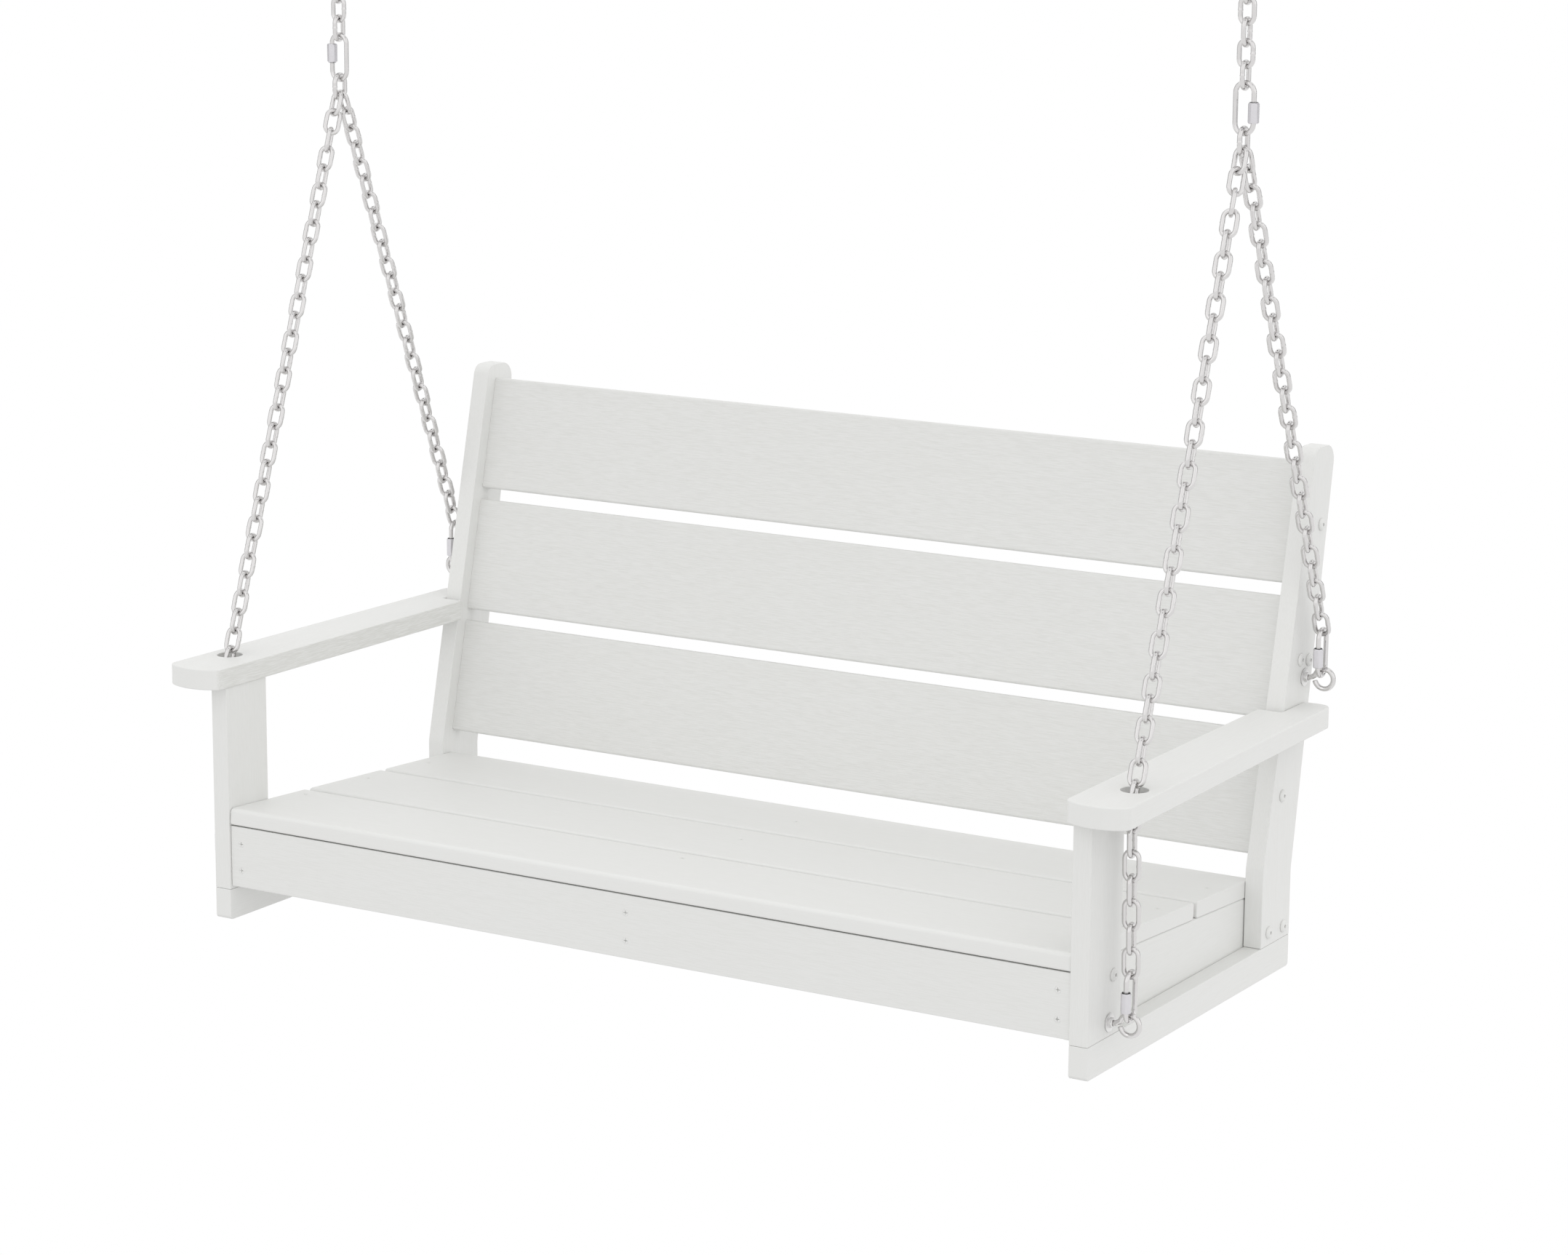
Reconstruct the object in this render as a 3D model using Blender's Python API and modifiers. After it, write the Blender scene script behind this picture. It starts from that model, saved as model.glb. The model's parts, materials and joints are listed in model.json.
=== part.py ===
"""Porch swing: a two-seat bench of plastic lumber that hangs from two chain bridles.

Units are metres, +Z is up, +X is the right side seen from the front and +Y points to the
back. While the pieces are modelled, y = 0 is the front face of the front posts and z = 0
the underside of the base rails. One empty then moves everything back by BACK_SHIFT, so that
the origin lies under the middle of the swing.
"""
import math

import bmesh
import bpy
from mathutils import Matrix, Vector

# ---------------------------------------------------------------- driving dimensions
BACK_SHIFT = 0.30034        # from the front posts' face to the middle of the depth
GAP = 0.0003                # gap that touching pieces keep
EASE = 0.0035               # rounding of the board edges

# Lumber frame. Depths are y, heights are z.
POST_OUT_X = 0.620          # outer face of the posts
POST_IN_X = 0.5965          # their inner face, so the boards are 23.5 mm thick
BOARD = POST_OUT_X - POST_IN_X
BASE_DEPTH = 0.5414
BASE_HEIGHT = 0.0395
POST_BOTTOM_Z = 0.0400
FRONT_POST_DEPTH = 0.0803
REAR_POST_FRONT_Y = 0.4603  # front face of the rear post's upright foot
REAR_POST_TOP_Z = 0.638
FRONT_BEND_Z = 0.1374       # where the rear post's front edge starts to lean
REAR_BEND_Z = 0.1230        # the same for its rear edge
FRONT_LEAN = 0.2313         # metres back for each metre up
REAR_LEAN = 0.1785          # less than FRONT_LEAN, so the post tapers upwards

# Armrests, seen from above. The inner and outer edges taper towards the back.
ARM_BOTTOM_Z = 0.3016
ARM_TOP_Z = 0.3278
ARM_OUT_X = 0.672
ARM_OUT_TAPER = 0.0251
ARM_IN_X = 0.594
ARM_IN_TAPER = 0.0103
ARM_FRONT_Y = -0.0165       # front corners of the arm
ARM_BOW = 0.0120            # how far the front edge bows out between them
ARM_REAR_Y = 0.564
ARM_NOTCH_Y = 0.4976        # the inner half stops here, in front of the rear post
ARM_HOLE = (0.640, 0.063)
ARM_HOLE_RADIUS = 0.016

# Seat.
SEAT_SLOPE = -0.053         # metres up for each metre back
SEAT_UNDER_Z = 0.1247       # underside of the slats at y = 0
SLAT_THICKNESS = 0.0212
SEAT_SLAT_FRONT_Y = 0.0015
SEAT_SLAT_DEPTH = 0.1545
SEAT_SLAT_PITCH = 0.1626
SEAT_SLAT_HALF = 0.595
APRON_Y = 0.003
RAIL_BOTTOM_Z = 0.0443
SIDE_RAIL_BOTTOM_Z = 0.0350   # the side rails reach lower, inside the base rails
APRON_GAP = 0.0007          # shadow gap under the front slat
SIDE_RAIL_REAR_Y = 0.5354
REAR_RAIL_Y = 0.4475
REAR_RAIL_TOP_Z = 0.0992
SUPPORT_HALF = 0.012        # half the thickness of the centre seat support

# Back slats. Their front faces lie parallel to the leaning edge of the rear posts.
BACK_SLAT_HALF = 0.596
BACK_SLAT_RECESS = 0.0192
BACK_SLAT_LOW_Z = 0.1506
BACK_SLAT_RISE = 0.1614     # from one slat to the next
BACK_SLAT_WIDTH = 0.1504    # measured along the lean

# Chain: wire diameter, inside length and outside width of a link.
CHAIN_WIRE = 0.0057
CHAIN_PITCH = 0.0241
CHAIN_WIDTH = 0.0226
LOWER_PITCH = 0.0280        # the longer links under the armrest
CHAIN_ROLL = 6.0            # degrees by which the whole chain is twisted
LINK_BITE = 0.0006          # depth to which the links of one chain are joined
FREE_GAP = 0.0005           # clearance between pieces that can move

# Quick link and its screw sleeve.
QUICK_WIRE = 0.0060
QUICK_HEIGHT = 0.0575       # centre line to centre line
QUICK_HALF = 0.01135
QUICK_MOUTH = (-0.0155, -0.0075)
SLEEVE_LENGTH = 0.0235
SLEEVE_ACROSS = 0.0115
SLEEVE_OFFSET = -0.0050
SLEEVE_BORE = 0.0035
# How far outward, back and up the lower quick links hang from the tops of their rings.
QUICK_SHIFT = {"front": (0.0, 0.0, 0.0), "rear": (-0.0030, -0.0020, -0.0013)}

# Eye bolts: y and z of the front and rear rings.
EYE_X = 0.646
FRONT_EYE = (0.0532, 0.0570)
REAR_EYE = (0.5623, 0.3595)
EYES = {"front": FRONT_EYE, "rear": REAR_EYE}
EYE_WIRE = 0.0064
EYE_RADIUS = 0.0122
EYE_SHANK_RISE = -0.0005
EYE_NECK = 0.0185           # from the ring's centre to where the shank bends up to it
EYE_ARC = (165.0, -167.0)   # the ring's open arc, in degrees
EYE_HOLE_RADIUS = 0.0038
NUT_ACROSS = 0.0111
NUT_HEIGHT = 0.0055
FLANGE_RADIUS = 0.011
FLANGE_HEIGHT = 0.0015
OVERLAP = 0.0002            # how far pieces that are joined into one reach into each other

# Suspension above the seat.
BEND = (0.640, 0.058, 0.3115)   # where the front chain turns inside the arm's hole
JUNCTION = (0.6364, 0.3065, 1.0242)   # centre of the lower arc of the junction link
JUNCTION_WIRE = 0.0060
JUNCTION_RADIUS = 0.0105
JUNCTION_STRAIGHT = 0.0098
LEG_SPREAD = 0.0036         # the first links of the two legs sit this far either side
FRONT_LINKS = 31
FRONT_LOWER_LINKS = 7
REAR_LINKS = 27
FRONT_TOP_ROLLS = [-20.0, 50.0, 116.0]   # the first links are twisted off the junction link
REAR_TOP_ROLLS = [-20.0, 82.0]
UPPER_LINKS = 4
HANGER_WIRE = 0.008
HANGER_RADIUS = 0.014
HANGER_DROP = 0.0225        # straight legs of the hanger's loop
PLATE = (0.040, 0.085, 0.005)
LAG_SPACING = 0.028
LAG_RADIUS = 0.003
LAG_LENGTH = 0.045          # above the plate

SIDES = {"left": -1.0, "right": 1.0}
WHITE = (0.86, 0.86, 0.84, 1.0)
ZINC = (0.60, 0.60, 0.62, 1.0)


# ---------------------------------------------------------------- scene helpers
def clear_scene():
    for item in list(bpy.data.objects):
        bpy.data.objects.remove(item, do_unlink=True)


def make_collection(name):
    collection = bpy.data.collections.new(name)
    bpy.context.scene.collection.children.link(collection)
    return collection


def make_material(name, colour, roughness, metallic):
    material = bpy.data.materials.new(name)
    material.use_nodes = True
    shader = material.node_tree.nodes["Principled BSDF"]
    shader.inputs["Base Color"].default_value = colour
    shader.inputs["Roughness"].default_value = roughness
    shader.inputs["Metallic"].default_value = metallic
    material.diffuse_color = colour
    return material


clear_scene()
PARTS = make_collection("porch_swing")
CUTTERS = make_collection("cutters")
LUMBER = make_material("plastic_lumber", WHITE, 0.55, 0.0)
STEEL = make_material("zinc_plated_steel", ZINC, 0.25, 1.0)


def make_body(name, place, parent):
    """An empty on the body's joint axis; `place` is in model coordinates."""
    body = bpy.data.objects.new(name, None)
    body.empty_display_size = 0.03
    body["place"] = tuple(place)
    body.parent = parent
    offset = Vector(parent["place"]) if parent else Vector((0.0, BACK_SHIFT, 0.0))
    body.location = Vector(place) - offset
    PARTS.objects.link(body)
    return body


def add_piece(name, mesh, material, body, centre=(0.0, 0.0, 0.0), turn=(0.0, 0.0, 0.0)):
    """Place a mesh made about `centre` as one named piece of a body."""
    piece = bpy.data.objects.new(name, mesh)
    mesh.materials.clear()
    mesh.materials.append(material)
    piece.parent = body
    piece.location = Vector(centre) - Vector(body["place"])
    piece.rotation_euler = turn
    PARTS.objects.link(piece)
    return piece


def soften(piece, width=EASE, segments=2):
    bevel = piece.modifiers.new("eased_edges", "BEVEL")
    bevel.width = width
    bevel.segments = segments
    bevel.limit_method = "ANGLE"
    bevel.angle_limit = math.radians(35)


def smooth(mesh):
    mesh.shade_smooth()
    mesh.set_sharp_from_angle(angle=math.radians(40))


def combine(piece, tool, operation):
    boolean = piece.modifiers.new(tool.name, "BOOLEAN")
    boolean.operation = operation
    boolean.solver = "EXACT"
    boolean.object = tool


def place_cutter(name, mesh, centre, body, turn=(0.0, 0.0, 0.0)):
    """A helper shape that a Boolean uses; it is left out of the model itself."""
    cutter = bpy.data.objects.new(name, mesh)
    cutter.parent = body
    cutter.location = Vector(centre) - Vector(body["place"])
    cutter.rotation_euler = turn
    cutter.hide_render = True
    cutter.display_type = "WIRE"
    CUTTERS.objects.link(cutter)
    return cutter


# ---------------------------------------------------------------- shape helpers
def box_mesh(name, size):
    mesh = bpy.data.meshes.new(name)
    shape = bmesh.new()
    bmesh.ops.create_cube(shape, size=1.0)
    bmesh.ops.scale(shape, vec=size, verts=shape.verts)
    shape.to_mesh(mesh)
    shape.free()
    return mesh


def prism_mesh(name, radius, length, sides, start=0.0):
    """A round or hexagonal bar along Z that starts at z = `start`."""
    mesh = bpy.data.meshes.new(name)
    shape = bmesh.new()
    bmesh.ops.create_cone(
        shape, cap_ends=True, segments=sides, radius1=radius, radius2=radius, depth=length
    )
    bmesh.ops.translate(shape, vec=(0.0, 0.0, start + length / 2), verts=shape.verts)
    shape.to_mesh(mesh)
    shape.free()
    return mesh


def join_meshes(name, meshes):
    """One mesh that holds copies of several (mesh, matrix) pairs."""
    joined = bpy.data.meshes.new(name)
    shape = bmesh.new()
    for mesh, matrix in meshes:
        first = len(shape.verts)
        shape.from_mesh(mesh)
        shape.verts.ensure_lookup_table()
        bmesh.ops.transform(shape, matrix=matrix, verts=shape.verts[first:])
    shape.to_mesh(joined)
    shape.free()
    return joined


def mesh_of_curve(curve):
    """The welded mesh of a curve, whose helper object is then removed."""
    helper = bpy.data.objects.new("curve_helper", curve)
    bpy.context.scene.collection.objects.link(helper)
    graph = bpy.context.evaluated_depsgraph_get()
    mesh = bpy.data.meshes.new_from_object(helper.evaluated_get(graph))
    mesh.transform(helper.matrix_world)
    bpy.data.objects.remove(helper, do_unlink=True)
    shape = bmesh.new()
    shape.from_mesh(mesh)
    bmesh.ops.remove_doubles(shape, verts=shape.verts, dist=0.00001)
    bmesh.ops.dissolve_limit(
        shape, angle_limit=math.radians(0.5), verts=shape.verts, edges=shape.edges
    )
    bmesh.ops.recalc_face_normals(shape, faces=shape.faces)
    shape.to_mesh(mesh)
    shape.free()
    return mesh


def wire_mesh(name, points, radius, closed, roundness=1):
    """A round wire along a list of points."""
    curve = bpy.data.curves.new(name, "CURVE")
    curve.dimensions = "3D"
    curve.bevel_depth = radius
    curve.bevel_resolution = roundness
    curve.use_fill_caps = not closed
    spline = curve.splines.new("POLY")
    spline.points.add(len(points) - 1)
    for knot, point in zip(spline.points, points):
        knot.co = (*point, 1.0)
    spline.use_cyclic_u = closed
    mesh = mesh_of_curve(curve)
    smooth(mesh)
    return mesh


def plate_mesh(name, outline, thickness):
    """A flat outline in x and y, extruded by `thickness` about z = 0."""
    curve = bpy.data.curves.new(name, "CURVE")
    curve.dimensions = "2D"
    curve.fill_mode = "BOTH"
    curve.extrude = thickness / 2
    spline = curve.splines.new("POLY")
    spline.points.add(len(outline) - 1)
    for knot, (x, y) in zip(spline.points, outline):
        knot.co = (x, y, 0.0, 1.0)
    spline.use_cyclic_u = True
    return mesh_of_curve(curve)


def upright_plate(name, outline, thickness):
    """The same, with the outline given as y and z and the thickness along x."""
    mesh = plate_mesh(name, outline, thickness)
    mesh.transform(Matrix(((0, 0, 1, 0), (1, 0, 0, 0), (0, 1, 0, 0), (0, 0, 0, 1))))
    return mesh


def arc(centre_x, centre_y, radius, start, stop, steps):
    """Points on an arc in a plane; the angles are in degrees."""
    points = []
    for step in range(steps + 1):
        angle = math.radians(start + (stop - start) * step / steps)
        points.append((centre_x + radius * math.cos(angle), centre_y + radius * math.sin(angle)))
    return points


def rounded(corners, steps=4):
    """An outline from (x, y, radius) corners, each rounded by its radius."""
    outline = []
    for index, (x, y, radius) in enumerate(corners):
        corner = Vector((x, y))
        before = Vector(corners[index - 1][:2]) - corner
        after = Vector(corners[(index + 1) % len(corners)][:2]) - corner
        if radius <= 0.0:
            outline.append((x, y))
            continue
        half = before.angle(after) / 2
        setback = radius / math.tan(half)
        start = corner + before.normalized() * setback
        stop = corner + after.normalized() * setback
        middle = corner + (before.normalized() + after.normalized()).normalized() * (
            radius / math.sin(half)
        )
        for step in range(steps + 1):
            point = start.lerp(stop, step / steps) - middle
            outline.append(tuple(middle + point.normalized() * radius))
    return outline


# ---------------------------------------------------------------- lumber
def front_edge_y(z):
    """The leaning front edge of the rear posts."""
    return REAR_POST_FRONT_Y + FRONT_LEAN * (z - FRONT_BEND_Z)


def rear_edge_y(z):
    return BASE_DEPTH + REAR_LEAN * (z - REAR_BEND_Z)


def seat_under_z(y):
    return SEAT_UNDER_Z + SEAT_SLOPE * y


def board(name, low, high, body):
    low, high = Vector(low), Vector(high)
    piece = add_piece(name, box_mesh(name, high - low), LUMBER, body, (low + high) / 2)
    soften(piece)
    return piece


def side_boards(side, sign, seat):
    """The base rail, the two posts and the seat's side rail of one side."""
    x = sign * (POST_OUT_X + POST_IN_X) / 2
    half = BOARD / 2
    board(f"base_rail_{side}", (x - half, 0.0, 0.0), (x + half, BASE_DEPTH, BASE_HEIGHT), seat)
    front_post = board(
        f"front_post_{side}",
        (x - half, 0.0, POST_BOTTOM_Z),
        (x + half, FRONT_POST_DEPTH, ARM_BOTTOM_Z - GAP),
        seat,
    )
    outline = rounded(
        (
            (REAR_POST_FRONT_Y, POST_BOTTOM_Z, 0.0),
            (BASE_DEPTH, POST_BOTTOM_Z, 0.0),
            (BASE_DEPTH, REAR_BEND_Z, 0.0),
            (rear_edge_y(REAR_POST_TOP_Z), REAR_POST_TOP_Z, 0.020),
            (front_edge_y(REAR_POST_TOP_Z), REAR_POST_TOP_Z, 0.015),
            (REAR_POST_FRONT_Y, FRONT_BEND_Z, 0.0),
        ),
        steps=12,
    )
    name = f"rear_post_{side}"
    mesh = upright_plate(name, outline, BOARD)
    rear_post = add_piece(name, mesh, LUMBER, seat, (x, 0.0, 0.0))
    soften(rear_post)

    start = APRON_Y + BOARD + GAP
    outline = (
        (start, SIDE_RAIL_BOTTOM_Z),
        (SIDE_RAIL_REAR_Y, SIDE_RAIL_BOTTOM_Z),
        (SIDE_RAIL_REAR_Y, seat_under_z(SIDE_RAIL_REAR_Y) - GAP),
        (start, seat_under_z(start) - GAP),
    )
    name = f"side_rail_{side}"
    mesh = upright_plate(name, outline, BOARD)
    side_rail = add_piece(name, mesh, LUMBER, seat, (x - sign * (BOARD + GAP), 0.0, 0.0))
    soften(side_rail)

    drill(f"front_eye_hole_{side}", (front_post, side_rail), sign, FRONT_EYE, seat)
    drill(f"rear_eye_hole_{side}", (rear_post,), sign, REAR_EYE, seat)


def drill(name, boards, sign, eye, seat):
    """The hole for an eye bolt's shank, through every board it passes."""
    length = 3 * BOARD
    mesh = prism_mesh(name, EYE_HOLE_RADIUS, length, 12, -length / 2)
    middle = (sign * POST_IN_X, eye[0], eye[1] + EYE_SHANK_RISE)
    cutter = place_cutter(name, mesh, middle, seat, (0.0, math.pi / 2, 0.0))
    for piece in boards:
        combine(piece, cutter, "DIFFERENCE")


def armrest(side, sign, seat):
    """A tapered board with a bowed front, notched round the rear post."""
    notch_x = POST_OUT_X + 0.0005
    arm_in = (ARM_IN_X - ARM_IN_TAPER * ARM_FRONT_Y, ARM_FRONT_Y)
    arm_out = (ARM_OUT_X - ARM_OUT_TAPER * ARM_FRONT_Y, ARM_FRONT_Y)
    bow_half = (arm_out[0] - arm_in[0]) / 2
    middle_x = (arm_in[0] + arm_out[0]) / 2
    corners = [(*arm_in, 0.012)]
    for share in (-0.5, 0.0, 0.5):
        drop = ARM_BOW * (1 - share * share)
        corners.append((middle_x + share * bow_half, ARM_FRONT_Y - drop, 0.0))
    corners += [
        (*arm_out, 0.014),
        (ARM_OUT_X - ARM_OUT_TAPER * ARM_REAR_Y, ARM_REAR_Y, 0.015),
        (notch_x, ARM_REAR_Y, 0.0),
        (notch_x, ARM_NOTCH_Y, 0.0),
        (ARM_IN_X - ARM_IN_TAPER * ARM_NOTCH_Y, ARM_NOTCH_Y, 0.0),
    ]
    outline = [(sign * x, y) for x, y in rounded(corners, 3)]
    name = f"armrest_{side}"
    mesh = plate_mesh(name, outline, ARM_TOP_Z - ARM_BOTTOM_Z)
    piece = add_piece(name, mesh, LUMBER, seat, (0.0, 0.0, (ARM_TOP_Z + ARM_BOTTOM_Z) / 2))
    soften(piece)

    name = f"arm_chain_hole_{side}"
    depth = 3 * (ARM_TOP_Z - ARM_BOTTOM_Z)
    mesh = prism_mesh(name, ARM_HOLE_RADIUS, depth, 16, -depth / 2)
    place = (sign * ARM_HOLE[0], ARM_HOLE[1], ARM_TOP_Z)
    combine(piece, place_cutter(name, mesh, place, seat), "DIFFERENCE")


def seat_boards(seat):
    """The apron, the rear rail, the centre support and the three seat slats."""
    outline = (
        (APRON_Y, RAIL_BOTTOM_Z),
        (APRON_Y + BOARD, RAIL_BOTTOM_Z),
        (APRON_Y + BOARD, seat_under_z(APRON_Y + BOARD) - APRON_GAP),
        (APRON_Y, seat_under_z(APRON_Y) - APRON_GAP),
    )
    mesh = upright_plate("front_apron", outline, 2 * (POST_IN_X - 2 * GAP))
    soften(add_piece("front_apron", mesh, LUMBER, seat))
    rail_x = POST_IN_X - BOARD - 3 * GAP
    rail_y = (REAR_RAIL_Y, REAR_RAIL_Y + BOARD)
    board(
        "rear_rail",
        (-rail_x, rail_y[0], RAIL_BOTTOM_Z),
        (rail_x, rail_y[1], REAR_RAIL_TOP_Z),
        seat,
    )
    start = APRON_Y + BOARD + GAP
    stop = REAR_RAIL_Y - GAP
    outline = (
        (start, RAIL_BOTTOM_Z),
        (stop, RAIL_BOTTOM_Z),
        (stop, seat_under_z(stop) - GAP),
        (start, seat_under_z(start) - GAP),
    )
    mesh = upright_plate("centre_seat_support", outline, 2 * SUPPORT_HALF)
    soften(add_piece("centre_seat_support", mesh, LUMBER, seat))

    tilt = math.atan(SEAT_SLOPE)
    lift = Vector((0.0, -math.sin(tilt), math.cos(tilt))) * SLAT_THICKNESS / 2
    for index, place in enumerate(("front", "middle", "rear")):
        middle = SEAT_SLAT_FRONT_Y + SEAT_SLAT_DEPTH / 2 + index * SEAT_SLAT_PITCH
        centre = Vector((0.0, middle, seat_under_z(middle))) + lift
        name = f"seat_slat_{place}"
        size = (2 * SEAT_SLAT_HALF, SEAT_SLAT_DEPTH, SLAT_THICKNESS)
        piece = add_piece(name, box_mesh(name, size), LUMBER, seat, centre, (tilt, 0.0, 0.0))
        soften(piece)


def back_slats(seat):
    lean = math.atan(FRONT_LEAN)
    along = Vector((0.0, math.sin(lean), math.cos(lean)))
    behind = Vector((0.0, math.cos(lean), -math.sin(lean)))
    for index, place in enumerate(("bottom", "middle", "top")):
        low_z = BACK_SLAT_LOW_Z + index * BACK_SLAT_RISE
        edge = Vector((0.0, front_edge_y(low_z) + BACK_SLAT_RECESS, low_z))
        centre = edge + along * BACK_SLAT_WIDTH / 2 + behind * SLAT_THICKNESS / 2
        name = f"back_slat_{place}"
        size = (2 * BACK_SLAT_HALF, SLAT_THICKNESS, BACK_SLAT_WIDTH)
        piece = add_piece(name, box_mesh(name, size), LUMBER, seat, centre, (-lean, 0.0, 0.0))
        soften(piece)


# ---------------------------------------------------------------- eye bolts
def eye_bolt(name, sign, eye, shank_end_x, body):
    """A bar bent to a ring in the X-Z plane, with its shank running inwards."""
    points = [(sign * (shank_end_x - EYE_X), 0.0, EYE_SHANK_RISE)]
    points.append((-sign * EYE_NECK, 0.0, EYE_SHANK_RISE))
    for x, z in arc(0.0, 0.0, EYE_RADIUS, *EYE_ARC, 14):
        points.append((sign * x, 0.0, z))
    mesh = wire_mesh(name, points, EYE_WIRE / 2, False, roundness=2)
    add_piece(name, mesh, STEEL, body, (sign * EYE_X, *eye))


def nut(name, sign, inner_x, eye, flange, body):
    """A hexagon nut on an eye bolt's shank; `inner_x` is its face nearer the middle."""
    turn = (0.0, sign * math.pi / 2, 0.0)
    place = Vector((sign * inner_x, eye[0], eye[1] + EYE_SHANK_RISE))
    hexagon = prism_mesh(name, NUT_ACROSS / math.sqrt(3), NUT_HEIGHT, 6)
    if flange:
        disc = prism_mesh(name + "_flange", FLANGE_RADIUS, FLANGE_HEIGHT, 16)
        piece = add_piece(name, disc, STEEL, body, place, turn)
        raised = place + Vector((sign * (FLANGE_HEIGHT - OVERLAP), 0.0, 0.0))
        tool = place_cutter(name + "_hexagon", hexagon, raised, body, turn)
        combine(piece, tool, "UNION")
    else:
        piece = add_piece(name, hexagon, STEEL, body, place, turn)
    length = 4 * NUT_HEIGHT
    bore = prism_mesh(name + "_bore", EYE_HOLE_RADIUS - OVERLAP, length, 12, -length / 2)
    combine(piece, place_cutter(name + "_bore", bore, place, body, turn), "DIFFERENCE")


# ---------------------------------------------------------------- links and chains
def link_path(half_width, half_straight, steps):
    """The closed centre line of an oval link in the X-Z plane."""
    # With an odd number of steps the crown is flat on top, so it is stretched to its height.
    stretch = 1.0 / math.cos(math.pi / (2 * steps)) if steps % 2 else 1.0
    path = []
    for side, start in ((1.0, 0), (-1.0, 180)):
        for x, rise in arc(0.0, 0.0, half_width, start, start + 180, steps):
            path.append((x, 0.0, side * half_straight + rise * stretch))
    return path


def link_mesh(name, pitch, width, wire, bite, steps, roundness):
    half_width = (width - wire) / 2
    half_straight = (pitch + wire - bite) / 2 - half_width
    # A square wire is drawn a little thicker, so that it holds the same steel.
    radius = wire / 2 * (1.1 if roundness == 0 else 1.0)
    path = link_path(half_width, half_straight, steps)
    return wire_mesh(name, path, radius, True, roundness)


def link_frame(centre, direction, roll):
    """A matrix that stands a link along `direction`, its plane turned by `roll` degrees."""
    up = Vector(direction).normalized()
    side = Vector((1.0, 0.0, 0.0))
    side = (side - up * side.dot(up)).normalized()
    across = up.cross(side)
    axes = Matrix((side, across, up)).transposed()
    return Matrix.Translation(centre) @ axes.to_4x4() @ Matrix.Rotation(math.radians(roll), 4, "Z")


def chain_run(start, stop, rolls):
    """Frames for links of equal length from `start` down to `stop`."""
    start, stop = Vector(start), Vector(stop)
    frames = []
    for index, roll in enumerate(rolls):
        centre = start.lerp(stop, (index + 0.5) / len(rolls))
        frames.append(link_frame(centre, start - stop, roll))
    return frames


def chain(name, links, body):
    """A chain from (mesh, frame) links: every second link is a tool joined to the rest."""
    place = Vector(body["place"])
    lift = Matrix.Translation(-place)
    local = [(mesh, lift @ frame) for mesh, frame in links]
    mesh = join_meshes(name, local[0::2])
    smooth(mesh)
    piece = add_piece(name, mesh, STEEL, body, place)
    tool = place_cutter(name + "_between", join_meshes(name + "_between", local[1::2]), place, body)
    combine(piece, tool, "UNION")


def alternating(count, first):
    """Rolls of a chain whose links stand crosswise, beginning with `first`."""
    return [first + CHAIN_ROLL + 90.0 * (index % 2) for index in range(count)]


# ---------------------------------------------------------------- quick links
def quick_link(name, sleeve_name, sleeve_body, body, centre, frame, offset=SLEEVE_OFFSET):
    """An open C of wire and the hexagon sleeve that closes its mouth."""
    straight = QUICK_HEIGHT / 2 - QUICK_HALF
    mouth = sorted(QUICK_MOUTH[i] * offset / SLEEVE_OFFSET for i in (0, 1))
    path = [(-QUICK_HALF, 0.0, mouth[0])]
    path += [(x, 0.0, z) for x, z in arc(0.0, -straight, QUICK_HALF, 180, 360, 8)]
    path += [(x, 0.0, z) for x, z in arc(0.0, straight, QUICK_HALF, 0, 180, 8)]
    path.append((-QUICK_HALF, 0.0, mouth[1]))
    mesh = wire_mesh(name, path, QUICK_WIRE / 2, False, roundness=1)
    mesh.transform(frame.to_4x4())
    add_piece(name, mesh, STEEL, body, centre)

    sleeve_at = Vector(centre) + frame @ Vector((-QUICK_HALF, 0.0, offset))
    radius = SLEEVE_ACROSS / math.sqrt(3)
    mesh = prism_mesh(sleeve_name, radius, SLEEVE_LENGTH, 6, -SLEEVE_LENGTH / 2)
    mesh.transform(frame.to_4x4())
    piece = add_piece(sleeve_name, mesh, STEEL, sleeve_body, sleeve_at)
    length = 1.5 * SLEEVE_LENGTH
    bore = prism_mesh(sleeve_name + "_bore", SLEEVE_BORE, length, 12, -length / 2)
    tool = place_cutter(sleeve_name + "_bore", bore, sleeve_at, sleeve_body)
    combine(piece, tool, "DIFFERENCE")


# ---------------------------------------------------------------- suspension
def suspension_heights():
    """Heights of the wire centres that meet one another above the junction."""
    z = {}
    z["junction_bottom"] = JUNCTION[2] - JUNCTION_RADIUS
    z["junction_top"] = JUNCTION[2] + JUNCTION_STRAIGHT + JUNCTION_RADIUS
    z["quick_bottom"] = z["junction_top"] - (JUNCTION_WIRE + QUICK_WIRE) / 2 - FREE_GAP
    z["quick_top"] = z["quick_bottom"] + QUICK_HEIGHT
    step = CHAIN_PITCH
    z["upper_bottom"] = z["quick_top"] - (QUICK_WIRE + CHAIN_WIRE) / 2 - FREE_GAP
    z["upper_top"] = z["upper_bottom"] + UPPER_LINKS * step + CHAIN_WIRE - LINK_BITE
    z["top_link_bottom"] = z["upper_top"] - CHAIN_WIRE - FREE_GAP
    z["top_link_top"] = z["top_link_bottom"] + step + CHAIN_WIRE
    z["eye_bottom"] = z["top_link_top"] - (CHAIN_WIRE + HANGER_WIRE) / 2 - FREE_GAP
    z["plate_bottom"] = z["eye_bottom"] + HANGER_RADIUS + HANGER_DROP
    return z


Z = suspension_heights()


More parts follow.
